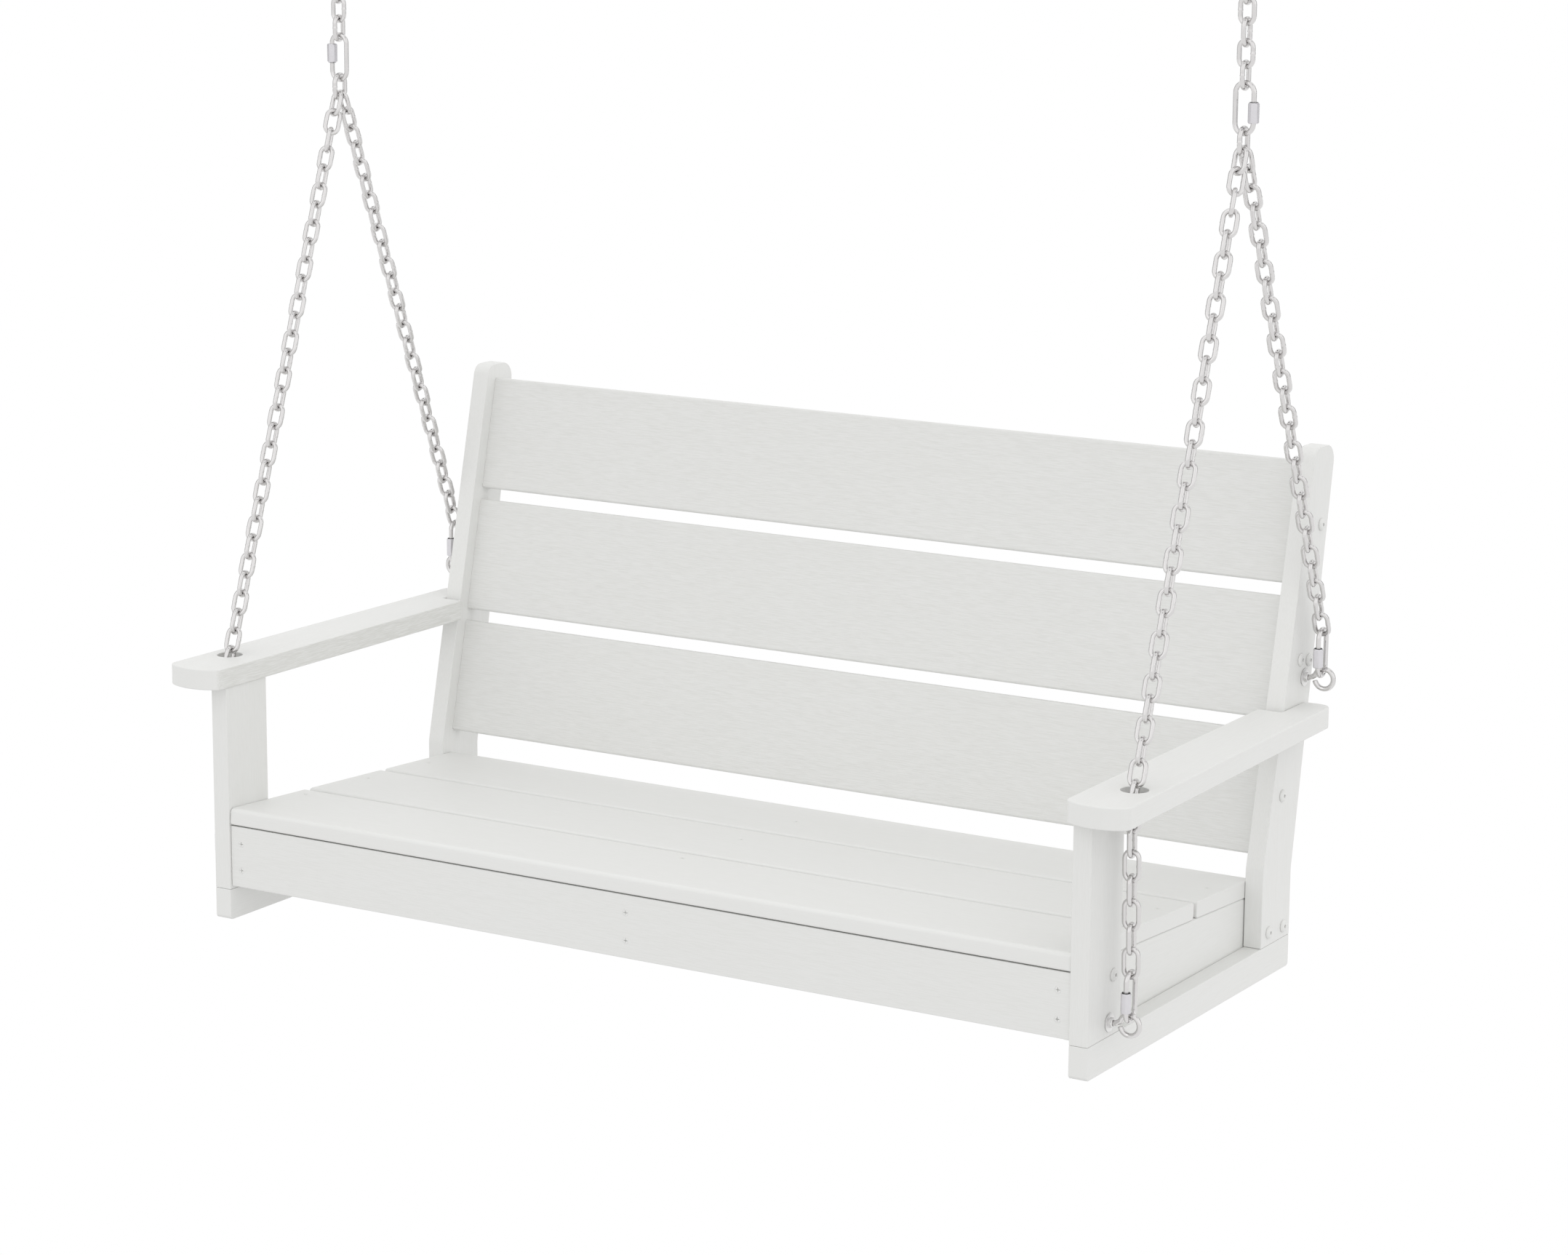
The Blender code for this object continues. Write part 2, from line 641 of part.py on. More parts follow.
def hanger(side, sign, ceiling):
    """A pad eye: a plate with a U-shaped rod under it, and two lag screws up through it."""
    x, y = sign * JUNCTION[0], JUNCTION[1]
    plate_z = Z["plate_bottom"] + PLATE[2] / 2
    name = f"hanger_{side}"
    plate = add_piece(name, box_mesh(name, PLATE), STEEL, ceiling, (x, y, plate_z))
    top = HANGER_RADIUS + HANGER_DROP + PLATE[2] * 0.6
    path = [(-HANGER_RADIUS, 0.0, top)]
    path += [(a, 0.0, b + HANGER_RADIUS) for a, b in arc(0.0, 0.0, HANGER_RADIUS, 180, 360, 12)]
    path.append((HANGER_RADIUS, 0.0, top))
    loop = wire_mesh(name + "_loop", path, HANGER_WIRE / 2, False, roundness=2)
    combine(plate, place_cutter(name + "_loop", loop, (x, y, Z["eye_bottom"]), ceiling), "UNION")
    for place, step in (("front", -1.0), ("rear", 1.0)):
        screw_y = y + step * LAG_SPACING
        screw = f"lag_screw_{side}_{place}"
        hole = prism_mesh(screw + "_hole", LAG_RADIUS + 0.0005, 3 * PLATE[2], 12, -1.5 * PLATE[2])
        combine(
            plate, place_cutter(screw + "_hole", hole, (x, screw_y, plate_z), ceiling), "DIFFERENCE"
        )
        head = prism_mesh(screw, 0.0058, 0.005, 6, -GAP - 0.005)
        piece = add_piece(screw, head, STEEL, ceiling, (x, screw_y, Z["plate_bottom"]))
        length = PLATE[2] + LAG_LENGTH + 0.002
        shank = prism_mesh(screw + "_shank", LAG_RADIUS, length, 10, -0.002)
        tool = place_cutter(screw + "_shank", shank, (x, screw_y, Z["plate_bottom"]), ceiling)
        combine(piece, tool, "UNION")


def single_link(name, bottom_z, top_z, width, wire, x, y, body):
    """One free link in the Y-Z plane between two wire heights."""
    mesh = link_mesh(name, top_z - bottom_z - wire, width, wire, 0.0, 7, 1)
    mesh.transform(Matrix.Rotation(math.pi / 2, 4, "Z"))
    add_piece(name, mesh, STEEL, body, (x, y, (bottom_z + top_z) / 2))


def upper_run(side, sign, body, sleeve_body):
    """The short chain between the top link and the quick link, and that quick link."""
    x, y = sign * JUNCTION[0], JUNCTION[1]
    plain = link_mesh("upper_link", CHAIN_PITCH, CHAIN_WIDTH, CHAIN_WIRE, LINK_BITE, 4, 2)
    inset = (CHAIN_WIRE - LINK_BITE) / 2
    start = (x, y, Z["upper_top"] - inset)
    stop = (x, y, Z["upper_bottom"] + inset)
    rolls = [90.0 * (index % 2) for index in range(UPPER_LINKS)]
    name = f"upper_chain_{side}"
    chain(name, [(plain, frame) for frame in chain_run(start, stop, rolls)], body)
    middle = (x, y, (Z["quick_bottom"] + Z["quick_top"]) / 2)
    offset = SLEEVE_OFFSET if sign > 0 else -SLEEVE_OFFSET
    frame = Matrix.Rotation(math.pi if sign > 0 else 0.0, 3, "Z")
    quick_link(
        f"quick_link_{side}_top", f"quick_link_sleeve_{side}_top", sleeve_body, body, middle,
        frame, offset,
    )


def leg_start(sign, direction):
    """The wire centre of a leg's first link, where it hangs in the junction link."""
    reach = JUNCTION_RADIUS - (JUNCTION_WIRE + CHAIN_WIRE) / 2 - FREE_GAP
    drop = math.sqrt(reach * reach - LEG_SPREAD * LEG_SPREAD)
    return Vector((sign * JUNCTION[0], JUNCTION[1] + direction * LEG_SPREAD, JUNCTION[2] - drop))


def quick_centre(sign, place):
    """Middle of a lower quick link, which stands in an eye bolt's ring."""
    eye = EYES[place]
    outward, back, up = QUICK_SHIFT[place]
    lift = EYE_RADIUS - (EYE_WIRE + QUICK_WIRE) / 2 - FREE_GAP + QUICK_HEIGHT / 2
    return Vector((sign * (EYE_X + outward), eye[0] + back, eye[1] + lift + up))


def leg_chains(side, sign, seat):
    """The front leg, which bends in the arm's hole, and the straight rear leg."""
    plain = link_mesh("leg_link", CHAIN_PITCH, CHAIN_WIDTH, CHAIN_WIRE, LINK_BITE, 3, 0)
    longer = link_mesh("lower_link", LOWER_PITCH, CHAIN_WIDTH, CHAIN_WIRE, LINK_BITE, 3, 0)
    inset = (CHAIN_WIRE - LINK_BITE) / 2
    bend = Vector((sign * BEND[0], BEND[1], BEND[2]))

    start = leg_start(sign, -1.0)
    start += (bend - start).normalized() * inset
    rolls = FRONT_TOP_ROLLS + alternating(FRONT_LINKS - len(FRONT_TOP_ROLLS), 0.0)
    links = [(plain, frame) for frame in chain_run(start, bend, rolls)]
    contact = (QUICK_WIRE + CHAIN_WIRE) / 2 + FREE_GAP
    rise = Vector((0.0, 0.0, QUICK_HEIGHT / 2 - contact + inset))
    stop = quick_centre(sign, "front") + rise
    rolls = alternating(FRONT_LOWER_LINKS, 0.0)
    links += [(longer, frame) for frame in chain_run(bend, stop, rolls)]
    chain(f"front_chain_{side}", links, seat)

    start = leg_start(sign, 1.0)
    stop = quick_centre(sign, "rear") + rise
    start += (stop - start).normalized() * inset
    rolls = REAR_TOP_ROLLS + alternating(REAR_LINKS - len(REAR_TOP_ROLLS), 0.0)
    links = [(plain, frame) for frame in chain_run(start, stop, rolls)]
    chain(f"rear_chain_{side}", links, seat)


def seat_hardware(side, sign, seat, sleeves):
    """Eye bolts with their nuts, and the quick links that stand in their rings."""
    inner_faces = {
        "front": POST_IN_X - BOARD - 2 * GAP,
        "rear": POST_IN_X - GAP,
    }
    for place, eye in EYES.items():
        inner_x = inner_faces[place]
        eye_bolt(f"eye_bolt_{side}_{place}", sign, eye, inner_x - NUT_HEIGHT - 0.003, seat)
        nut(f"eye_flange_nut_{side}_{place}", sign, POST_OUT_X + GAP, eye, True, seat)
        nut(f"eye_lock_nut_{side}_{place}", sign, inner_x - NUT_HEIGHT, eye, False, seat)
        quick_link(
            f"quick_link_{side}_{place}",
            f"quick_link_sleeve_{side}_{place}",
            sleeves[place],
            seat,
            quick_centre(sign, place),
            Matrix.Rotation(math.pi / 2, 3, "Z"),
        )


# ---------------------------------------------------------------- assembly
def sleeve_axis(sign, place):
    """Where a lower quick link's sleeve slides, on the front wire of the link."""
    return tuple(quick_centre(sign, place) - Vector((0.0, QUICK_HALF, 0.0)))


def build():
    ceiling = make_body("ceiling_hangers", (0.0, JUNCTION[1], Z["eye_bottom"]), None)
    seat = make_body("seat", JUNCTION, ceiling)
    seat_boards(seat)
    back_slats(seat)
    for side, sign in SIDES.items():
        x, y = sign * JUNCTION[0], JUNCTION[1]
        side_boards(side, sign, seat)
        armrest(side, sign, seat)
        hanger(side, sign, ceiling)
        top = make_body(f"top_link_axis_{side}", (x, y, Z["eye_bottom"]), ceiling)
        single_link(
            f"top_link_{side}", Z["top_link_bottom"], Z["top_link_top"], CHAIN_WIDTH, CHAIN_WIRE,
            x, y, top,
        )
        upper = make_body(f"upper_chain_axis_{side}", (x, y, Z["top_link_bottom"]), top)
        slide = make_body(
            f"sleeve_axis_{side}_top",
            (x + sign * QUICK_HALF, y, (Z["quick_bottom"] + Z["quick_top"]) / 2),
            upper,
        )
        upper_run(side, sign, upper, slide)
        low = make_body(f"junction_axis_{side}", (x, y, Z["junction_top"]), upper)
        single_link(
            f"junction_link_{side}", Z["junction_bottom"], Z["junction_top"],
            2 * JUNCTION_RADIUS + JUNCTION_WIRE, JUNCTION_WIRE, x, y, low,
        )
        leg_chains(side, sign, seat)
        sleeves = {}
        for place in EYES:
            name = f"sleeve_axis_{side}_{place}"
            sleeves[place] = make_body(name, sleeve_axis(sign, place), seat)
        seat_hardware(side, sign, seat, sleeves)


build()
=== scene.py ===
import json
import math

import bmesh
import bpy
from mathutils import Matrix, Vector


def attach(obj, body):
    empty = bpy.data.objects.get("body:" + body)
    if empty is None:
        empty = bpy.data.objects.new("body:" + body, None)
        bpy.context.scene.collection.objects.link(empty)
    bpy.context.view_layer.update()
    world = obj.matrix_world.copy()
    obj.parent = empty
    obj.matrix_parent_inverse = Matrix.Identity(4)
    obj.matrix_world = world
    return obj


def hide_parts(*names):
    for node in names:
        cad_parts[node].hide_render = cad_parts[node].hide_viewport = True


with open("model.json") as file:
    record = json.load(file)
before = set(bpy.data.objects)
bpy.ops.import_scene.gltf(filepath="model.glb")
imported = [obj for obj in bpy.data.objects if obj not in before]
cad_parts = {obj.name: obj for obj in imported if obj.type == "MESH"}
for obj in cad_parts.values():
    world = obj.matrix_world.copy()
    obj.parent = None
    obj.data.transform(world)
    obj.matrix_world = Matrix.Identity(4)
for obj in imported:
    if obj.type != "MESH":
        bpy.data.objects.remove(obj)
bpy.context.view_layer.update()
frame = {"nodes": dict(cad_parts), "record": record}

BACK_SHIFT = 0.30034
GAP = 0.0003
NODE_BODY = {
    node: body
    for body, nodes in frame["record"]["behaviour"]["bodies"].items()
    for node in nodes
}
SIDES = {"left": -1.0, "right": 1.0}

# ------------------------ sizes that the frame has
POST_OUT_X = 0.620
POST_IN_X = 0.5965
BOARD = POST_OUT_X - POST_IN_X
BASE_DEPTH = 0.5414
BASE_HEIGHT = 0.0395
POST_BOTTOM_Z = 0.0398
FRONT_POST_DEPTH = 0.0803
REAR_POST_FRONT_Y = 0.4603
REAR_POST_TOP_Z = 0.638
FRONT_BEND_Z = 0.1374
REAR_BEND_Z = 0.1230
FRONT_LEAN = 0.2313
REAR_LEAN = 0.1785

ARM_BOTTOM_Z = 0.3016
ARM_TOP_Z = 0.3278
ARM_OUT_X = 0.672
ARM_OUT_TAPER = 0.0251
ARM_IN_X = 0.594
ARM_IN_TAPER = 0.0103
ARM_FRONT_Y = -0.0165
ARM_BOW = 0.0120
ARM_REAR_Y = 0.564
ARM_NOTCH_Y = 0.4976
ARM_HOLE = (0.640, 0.063)
ARM_HOLE_RADIUS = 0.016

SEAT_SLOPE = -0.053
SEAT_UNDER_Z = 0.1247
SLAT_THICKNESS = 0.0212
SEAT_SLAT_FRONT_Y = 0.0015
SEAT_SLAT_DEPTH = 0.1545
SEAT_SLAT_PITCH = 0.1626
SEAT_SLAT_HALF = 0.5960
APRON_Y = 0.003
RAIL_BOTTOM_Z = 0.0443
SIDE_RAIL_BOTTOM_Z = 0.0350
APRON_GAP = 0.0016
SIDE_RAIL_REAR_Y = 0.5354
REAR_RAIL_Y = 0.4475
REAR_RAIL_TOP_Z = 0.0992
SUPPORT_HALF = 0.012

BACK_SLAT_HALF = 0.59645
BACK_SLAT_RECESS = 0.0192
BACK_SLAT_LOW_Z = 0.1506
BACK_SLAT_RISE = 0.1614
BACK_SLAT_WIDTH = 0.1504

CHAIN_WIRE = 0.0057
CHAIN_PITCH = 0.0241
CHAIN_WIDTH = 0.0226
CHAIN_ROLL = 6.0
LINK_BITE = 0.0006
FREE_GAP = 0.0005

QUICK_WIRE = 0.0060
QUICK_HEIGHT = 0.0575
QUICK_HALF = 0.01135
SLEEVE_LENGTH = 0.0235
SLEEVE_ACROSS = 0.0115
SLEEVE_OFFSET = -0.0050

EYE_X = 0.646
FRONT_EYE = (0.0532, 0.0570)
REAR_EYE = (0.5623, 0.3595)
EYES = {"front": FRONT_EYE, "rear": REAR_EYE}
EYE_WIRE = 0.0064
EYE_RADIUS = 0.0122
EYE_SHANK_RISE = -0.0005
EYE_NECK = 0.0185
EYE_ARC = (165.0, -167.0)
QUICK_SHIFT = {"front": (0.0, 0.0, 0.0), "rear": (-0.0030, -0.0020, -0.0013)}
EYE_HOLE_RADIUS = 0.0038
NUT_ACROSS = 0.0111
NUT_HEIGHT = 0.0055
FLANGE_RADIUS = 0.011

BEND = (0.640, 0.058, 0.3115)
JUNCTION = (0.6364, 0.3065, 1.0242)
JUNCTION_WIRE = 0.0060
JUNCTION_RADIUS = 0.0105
JUNCTION_STRAIGHT = 0.0098
LEG_SPREAD = 0.0036
FRONT_LINKS = 31
FRONT_LOWER_LINKS = 7
REAR_LINKS = 27
FRONT_TOP_ROLLS = [-20.0, 50.0, 116.0]
REAR_TOP_ROLLS = [-20.0, 82.0]
UPPER_LINKS = 4
HANGER_WIRE = 0.008
HANGER_RADIUS = 0.014
HANGER_DROP = 0.0225
PLATE = (0.040, 0.085, 0.005)
LAG_SPACING = 0.028
LAG_RADIUS = 0.003
LAG_LENGTH = 0.045

# ------------------------ sizes only seen here
EDGE = 0.0040               # rounding of the boards' long edges
ARM_EDGE = 0.0065           # larger, round the armrests
JOINT_EDGE = 0.0009         # smaller, where a post stands on its base rail
SHADOW_GAP = 0.0009         # between the seat's side rails and the posts
CAP_RADIUS = 0.0076         # round caps of the post bolts
CAP_HEIGHT = 0.0034
CAP_BOLTS = {               # y and z on the posts' outer faces
    "rear_post": (
        (0.5969, 0.5421),
        (0.5492, 0.3828),
        (0.5731, 0.3783),
        (0.5083, 0.2216),
        (0.4808, 0.0562),
        (0.5222, 0.0543),
    ),
    "front_post": ((0.0611, 0.1104),),
}
SCREW_RADIUS = 0.0041
APRON_SCREW_X = (-0.580, 0.0, 0.580)
APRON_SCREW_Z = (0.0665, 0.1010)
SEAT_SCREW_X = (-0.575, 0.0, 0.575)
SEAT_SCREW_Y = (0.1280, 0.2630, 0.3970)
SCREW_BORE_DEPTH = 0.004


# ------------------------ materials
def new_material(name):
    material = bpy.data.materials.new(name)
    material.use_nodes = True
    nodes = material.node_tree.nodes
    return material, nodes, material.node_tree.links, nodes["Principled BSDF"]


def add_noise(nodes, links, vector, scale, detail, roughness=0.5):
    noise = nodes.new("ShaderNodeTexNoise")
    noise.inputs["Scale"].default_value = scale
    noise.inputs["Detail"].default_value = detail
    noise.inputs["Roughness"].default_value = roughness
    links.new(vector, noise.inputs["Vector"])
    return noise.outputs["Fac"]


def spread(nodes, links, value, low, high, out_low, out_high):
    """Maps `value` from low..high to out_low..out_high."""
    scale = nodes.new("ShaderNodeMapRange")
    scale.inputs["From Min"].default_value = low
    scale.inputs["From Max"].default_value = high
    scale.inputs["To Min"].default_value = out_low
    scale.inputs["To Max"].default_value = out_high
    links.new(value, scale.inputs["Value"])
    return scale.outputs["Result"]


def blend_colours(nodes, links, factor, first, second):
    mix = nodes.new("ShaderNodeMix")
    mix.data_type = "RGBA"
    links.new(factor, mix.inputs["Factor"])
    for socket, colour in ((mix.inputs["A"], first), (mix.inputs["B"], second)):
        if isinstance(colour, tuple):
            socket.default_value = colour
        else:
            links.new(colour, socket)
    return mix.outputs["Result"]


def stretched(nodes, links, turn, scale):
    """Object coordinates turned so that the grain runs along X, then scaled."""
    place = nodes.new("ShaderNodeTexCoord").outputs["Object"]
    rotate = nodes.new("ShaderNodeMapping")
    rotate.inputs["Rotation"].default_value = turn
    links.new(place, rotate.inputs["Vector"])
    stretch = nodes.new("ShaderNodeMapping")
    stretch.inputs["Scale"].default_value = scale
    links.new(rotate.outputs["Vector"], stretch.inputs["Vector"])
    return stretch.outputs["Vector"]


def calculated(nodes, links, operation, first, second):
    """The result of a Math node for two linked values."""
    operator_node = nodes.new("ShaderNodeMath")
    operator_node.operation = operation
    links.new(first, operator_node.inputs[0])
    links.new(second, operator_node.inputs[1])
    return operator_node.outputs["Value"]


def add_bump(nodes, links, shader, height, strength, distance):
    bump = nodes.new("ShaderNodeBump")
    bump.inputs["Strength"].default_value = strength
    bump.inputs["Distance"].default_value = distance
    links.new(height, bump.inputs["Height"])
    links.new(bump.outputs["Normal"], shader.inputs["Normal"])
    return bump


def shaded(colour, factor):
    return tuple(channel * factor for channel in colour[:3]) + (1.0,)


def inner_side(nodes, links):
    """1 on the faces of a side board that look inwards, otherwise 0."""
    texture = nodes.new("ShaderNodeTexCoord")
    across = []
    for output in ("Object", "Normal"):
        split = nodes.new("ShaderNodeSeparateXYZ")
        links.new(texture.outputs[output], split.inputs["Vector"])
        across.append(split.outputs["X"])
    product = calculated(nodes, links, "MULTIPLY", *across)
    return spread(nodes, links, product, -0.54, -0.42, 1.0, 0.0)


def lumber_material(name, turn, grain=1.0, shade=1.0, side_grain=0.0):
    """White plastic lumber with a fine, slightly wavy grain along the board.

    `grain` is its strength, and `side_grain` that on the inner faces of a side board. `shade`
    scales the whole colour; below 1 it is painted shade, as on the back slats.
    """
    material, nodes, links, shader = new_material(name)
    fine = add_noise(
        nodes, links, stretched(nodes, links, turn, (50.0, 980.0, 980.0)), 1.0, 2.0, 0.5
    )
    fine.node.inputs["Distortion"].default_value = 0.4
    broad = add_noise(
        nodes, links, stretched(nodes, links, turn, (5.0, 60.0, 60.0)), 1.0, 4.0, 0.6
    )
    cloud = add_noise(
        nodes, links, stretched(nodes, links, turn, (3.0, 6.0, 6.0)), 1.0, 2.0
    )
    warm, pale, dark = (
        shaded(colour, shade) for colour in (LUMBER_WARM, LUMBER_LIGHT, LUMBER_DARK)
    )
    streak = blend_colours(
        nodes, links, spread(nodes, links, broad, 0.35, 0.65, 0.0, 0.35), pale, warm
    )
    tint = blend_colours(
        nodes, links, spread(nodes, links, cloud, 0.3, 0.7, 0.0, 0.3), streak, warm
    )
    grooves = spread(nodes, links, fine, 0.40, 0.68, 0.0, grain)
    if side_grain:
        rough = spread(nodes, links, fine, 0.36, 0.60, 0.0, side_grain)
        rough = calculated(nodes, links, "MULTIPLY", rough, inner_side(nodes, links))
        grooves = calculated(nodes, links, "MAXIMUM", grooves, rough)
    links.new(blend_colours(nodes, links, grooves, tint, dark), shader.inputs["Base Color"])
    links.new(spread(nodes, links, fine, 0.3, 0.7, 0.44, 0.60), shader.inputs["Roughness"])
    height = nodes.new("ShaderNodeMath")
    height.operation = "MULTIPLY_ADD"
    height.inputs[1].default_value = -0.35
    links.new(broad, height.inputs[0])
    links.new(fine, height.inputs[2])
    bump = add_bump(nodes, links, shader, height.outputs["Value"], 0.5 * grain, 0.0008)
    bump.invert = True
    return material


def steel_material(name, colour, roughness):
    """Zinc-plated wire: bright, slightly clouded, with fine drawing marks."""
    material, nodes, links, shader = new_material(name)
    place = nodes.new("ShaderNodeTexCoord").outputs["Object"]
    cloud = add_noise(nodes, links, place, 90.0, 4.0, 0.6)
    speck = add_noise(nodes, links, place, 700.0, 2.0)
    clouds = spread(nodes, links, cloud, 0.3, 0.7, 0.0, 1.0)
    tone = blend_colours(nodes, links, clouds, shaded(colour, 0.95), colour)
    links.new(tone, shader.inputs["Base Color"])
    shader.inputs["Metallic"].default_value = 1.0
    links.new(
        spread(nodes, links, cloud, 0.3, 0.7, roughness - 0.03, roughness + 0.04),
        shader.inputs["Roughness"],
    )
    add_bump(nodes, links, shader, speck, 0.03, 0.0002)
    return material


LUMBER_LIGHT = (0.806, 0.808, 0.794, 1.0)
LUMBER_DARK = (0.715, 0.716, 0.690, 1.0)
LUMBER_WARM = (0.792, 0.792, 0.772, 1.0)
QUARTER = math.pi / 2
ALONG_X = (0.0, 0.0, 0.0)
ALONG_Y = (0.0, 0.0, -QUARTER)
ALONG_Z = (0.0, QUARTER, 0.0)
LUMBER = {
    "x": lumber_material("lumber_grain_x", ALONG_X, 0.30),
    "y": lumber_material("lumber_grain_y", ALONG_Y, 0.15),
    "z": lumber_material("lumber_grain_z", ALONG_Z, 0.22),
    # The back slats' copy has a coarser grain and a colour darkened to 0.965, which is painted
    # shade.
    "back": lumber_material("lumber_back", ALONG_X, 0.55, 0.965),
    "smooth": lumber_material("lumber_smooth", ALONG_X, 0.12),
    "arm": lumber_material("lumber_arm", ALONG_Y, 0.14, side_grain=1.0),
}
CAP = lumber_material("moulded_cap", ALONG_X, 0.2)
STEEL = steel_material("zinc_steel", (0.700, 0.688, 0.685, 1.0), 0.14)
SLEEVE = steel_material("zinc_steel_sleeve", (0.690, 0.678, 0.702, 1.0), 0.38)
NUT_STEEL = steel_material("zinc_steel_nut", (0.790, 0.785, 0.780, 1.0), 0.42)
# Near-black material for the rings at the sleeves' open ends, painted shade of their bores.
SLEEVE_END_PAINTED_SHADE = steel_material("dark_ring", (0.03, 0.03, 0.03, 1.0), 0.5)
for cad_object in frame["nodes"].values():
    wooden = any(word in cad_object.name for word in ("rail", "post", "slat", "arm", "apron"))
    cad_object.data.materials.clear()
    cad_object.data.materials.append(LUMBER["x"] if wooden else STEEL)


# ------------------------ pieces
def in_scene(name, data):
    item = bpy.data.objects.new(name, data)
    bpy.context.scene.collection.objects.link(item)
    return item


def smooth_below(mesh, angle):
    """Smooth shading, with edges of more than `angle` degrees left sharp."""
    mesh.shade_smooth()
    mesh.set_sharp_from_angle(angle=math.radians(angle))


def finish_piece(name, mesh, material, body, nodes=()):
    """Puts a finished mesh in the row frame as one piece that rides on `body`."""
    mesh.transform(Matrix.Translation((0.0, -BACK_SHIFT, 0.0)))
    mesh.materials.clear()
    mesh.materials.append(material)
    piece = in_scene(name, mesh)
    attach(piece, body)
    if nodes:
        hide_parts(*nodes)
    return piece


def lumber_piece(node, mesh, grain):
    """A detailed board that stands for the CAD node of that name."""
    mesh.shade_smooth()
    piece = finish_piece(
        f"{node}_board", mesh, LUMBER[grain], NODE_BODY[node], (node,)
    )
    weighted = piece.modifiers.new("flat_faces", "WEIGHTED_NORMAL")
    weighted.keep_sharp = True


def steel_piece(node, mesh, material=None, angle=32.0):
    smooth_below(mesh, angle)
    finish_piece(
        f"{node}_part", mesh, material or STEEL, NODE_BODY[node], (node,)
    )


def mesh_from(name, shape):
    bmesh.ops.recalc_face_normals(shape, faces=shape.faces)
    mesh = bpy.data.meshes.new(name)
    shape.to_mesh(mesh)
    shape.free()
    return mesh


def joined(name, meshes):
    """One mesh that holds a copy of each (mesh, matrix) pair."""
    shape = bmesh.new()
    for mesh, matrix in meshes:
        first = len(shape.verts)
        shape.from_mesh(mesh)
        shape.verts.ensure_lookup_table()
        bmesh.ops.transform(shape, matrix=matrix, verts=shape.verts[first:])
    mesh = bpy.data.meshes.new(name)
    shape.to_mesh(mesh)
    shape.free()
    return mesh


def cut(mesh, tool):
    """The mesh with the tool's volume taken away."""
    pair = [in_scene(item.name, item) for item in (mesh, tool)]
    boolean = pair[0].modifiers.new("cut", "BOOLEAN")
    boolean.object = pair[1]
    boolean.operation = "DIFFERENCE"
    boolean.solver = "EXACT"
    graph = bpy.context.evaluated_depsgraph_get()
    result = bpy.data.meshes.new_from_object(pair[0].evaluated_get(graph))
    for item in pair:
        bpy.data.objects.remove(item, do_unlink=True)
    return result


# ------------------------ outlines and boards
def rounded(corners, steps=6):
    """An outline from (x, y, radius) corners, each rounded by its radius."""
    outline = []
    for index, (x, y, radius) in enumerate(corners):
        corner = Vector((x, y))
        before = (Vector(corners[index - 1][:2]) - corner).normalized()
        after = (Vector(corners[(index + 1) % len(corners)][:2]) - corner).normalized()
        if radius <= 0.0:
            outline.append((x, y))
            continue
        half = before.angle(after) / 2
        setback = radius / math.tan(half)
        middle = corner + (before + after).normalized() * (radius / math.sin(half))
        first = corner + before * setback - middle
        turn = first.angle_signed(corner + after * setback - middle)
        for step in range(steps + 1):
            spoke = first.copy()
            spoke.rotate(Matrix.Rotation(-turn * step / steps, 2))
            outline.append(tuple(middle + spoke))
    return outline


def rectangle(left, low, right, high, *radii):
    """A rounded outline; four radii go round from its lower left corner, or one serves all."""
    corners = ((left, low), (right, low), (right, high), (left, high))
    radii *= 4 // len(radii)
    return rounded([(*corner, radius) for corner, radius in zip(corners, radii)])


def circle(x, y, radius, sides):
    angles = [2 * math.pi * index / sides for index in range(sides)]
    return [(x + radius * math.cos(a), y + radius * math.sin(a)) for a in angles]


def plate(name, outline, thickness, holes=(), ease=EDGE, segments=4, keep=(), keep_ease=0.0):
    """A flat outline in x and y, extruded about z = 0, its sharp edges rounded.

    Edges inside the (x, y, radius) circles of `keep` are rounded by `keep_ease` instead.
    """
    curve = bpy.data.curves.new(name, "CURVE")
    curve.dimensions = "2D"
    curve.fill_mode = "BOTH"
    curve.extrude = thickness / 2
    for loop in (outline, *holes):
        spline = curve.splines.new("POLY")
        spline.points.add(len(loop) - 1)
        for knot, (x, y) in zip(spline.points, loop):
            knot.co = (x, y, 0.0, 1.0)
        spline.use_cyclic_u = True
    helper = in_scene(name, curve)
    graph = bpy.context.evaluated_depsgraph_get()
    mesh = bpy.data.meshes.new_from_object(helper.evaluated_get(graph))
    bpy.data.objects.remove(helper, do_unlink=True)
    shape = bmesh.new()
    shape.from_mesh(mesh)
    bmesh.ops.remove_doubles(shape, verts=shape.verts, dist=0.00001)
    bmesh.ops.dissolve_limit(
        shape, angle_limit=math.radians(0.5), verts=shape.verts, edges=shape.edges
    )
    bmesh.ops.recalc_face_normals(shape, faces=shape.faces)
    round_edges(shape, ease, segments, keep)
    if keep_ease > 0.0:
        round_edges(shape, keep_ease, 2, keep, inside=True)
    return mesh_from(name, shape)


def round_edges(shape, ease, segments=4, keep=(), inside=False):
    """Rounds the sharp edges outside the circles of `keep`, or those inside them."""
    edges = []
    for edge in shape.edges:
        if len(edge.link_faces) != 2 or edge.calc_face_angle(0.0) < math.radians(50):
            continue
        middle = (edge.verts[0].co + edge.verts[1].co) / 2
        kept = any(math.hypot(middle.x - x, middle.y - y) < radius for x, y, radius in keep)
        if kept == inside:
            edges.append(edge)
    bmesh.ops.bevel(
        shape, geom=edges, offset=ease, offset_type="OFFSET", segments=segments, profile=0.5,
        affect="EDGES", clamp_overlap=True, miter_outer="ARC",
    )


# Turns x, y of an outline into y, z, and its thickness into x.
UPRIGHT = Matrix(((0, 0, 1, 0), (1, 0, 0, 0), (0, 1, 0, 0), (0, 0, 0, 1)))


def upright_plate(name, outline, thickness, middle_x=0.0, **options):
    mesh = plate(name, outline, thickness, **options)
    mesh.transform(Matrix.Translation((middle_x, 0.0, 0.0)) @ UPRIGHT)
    return mesh


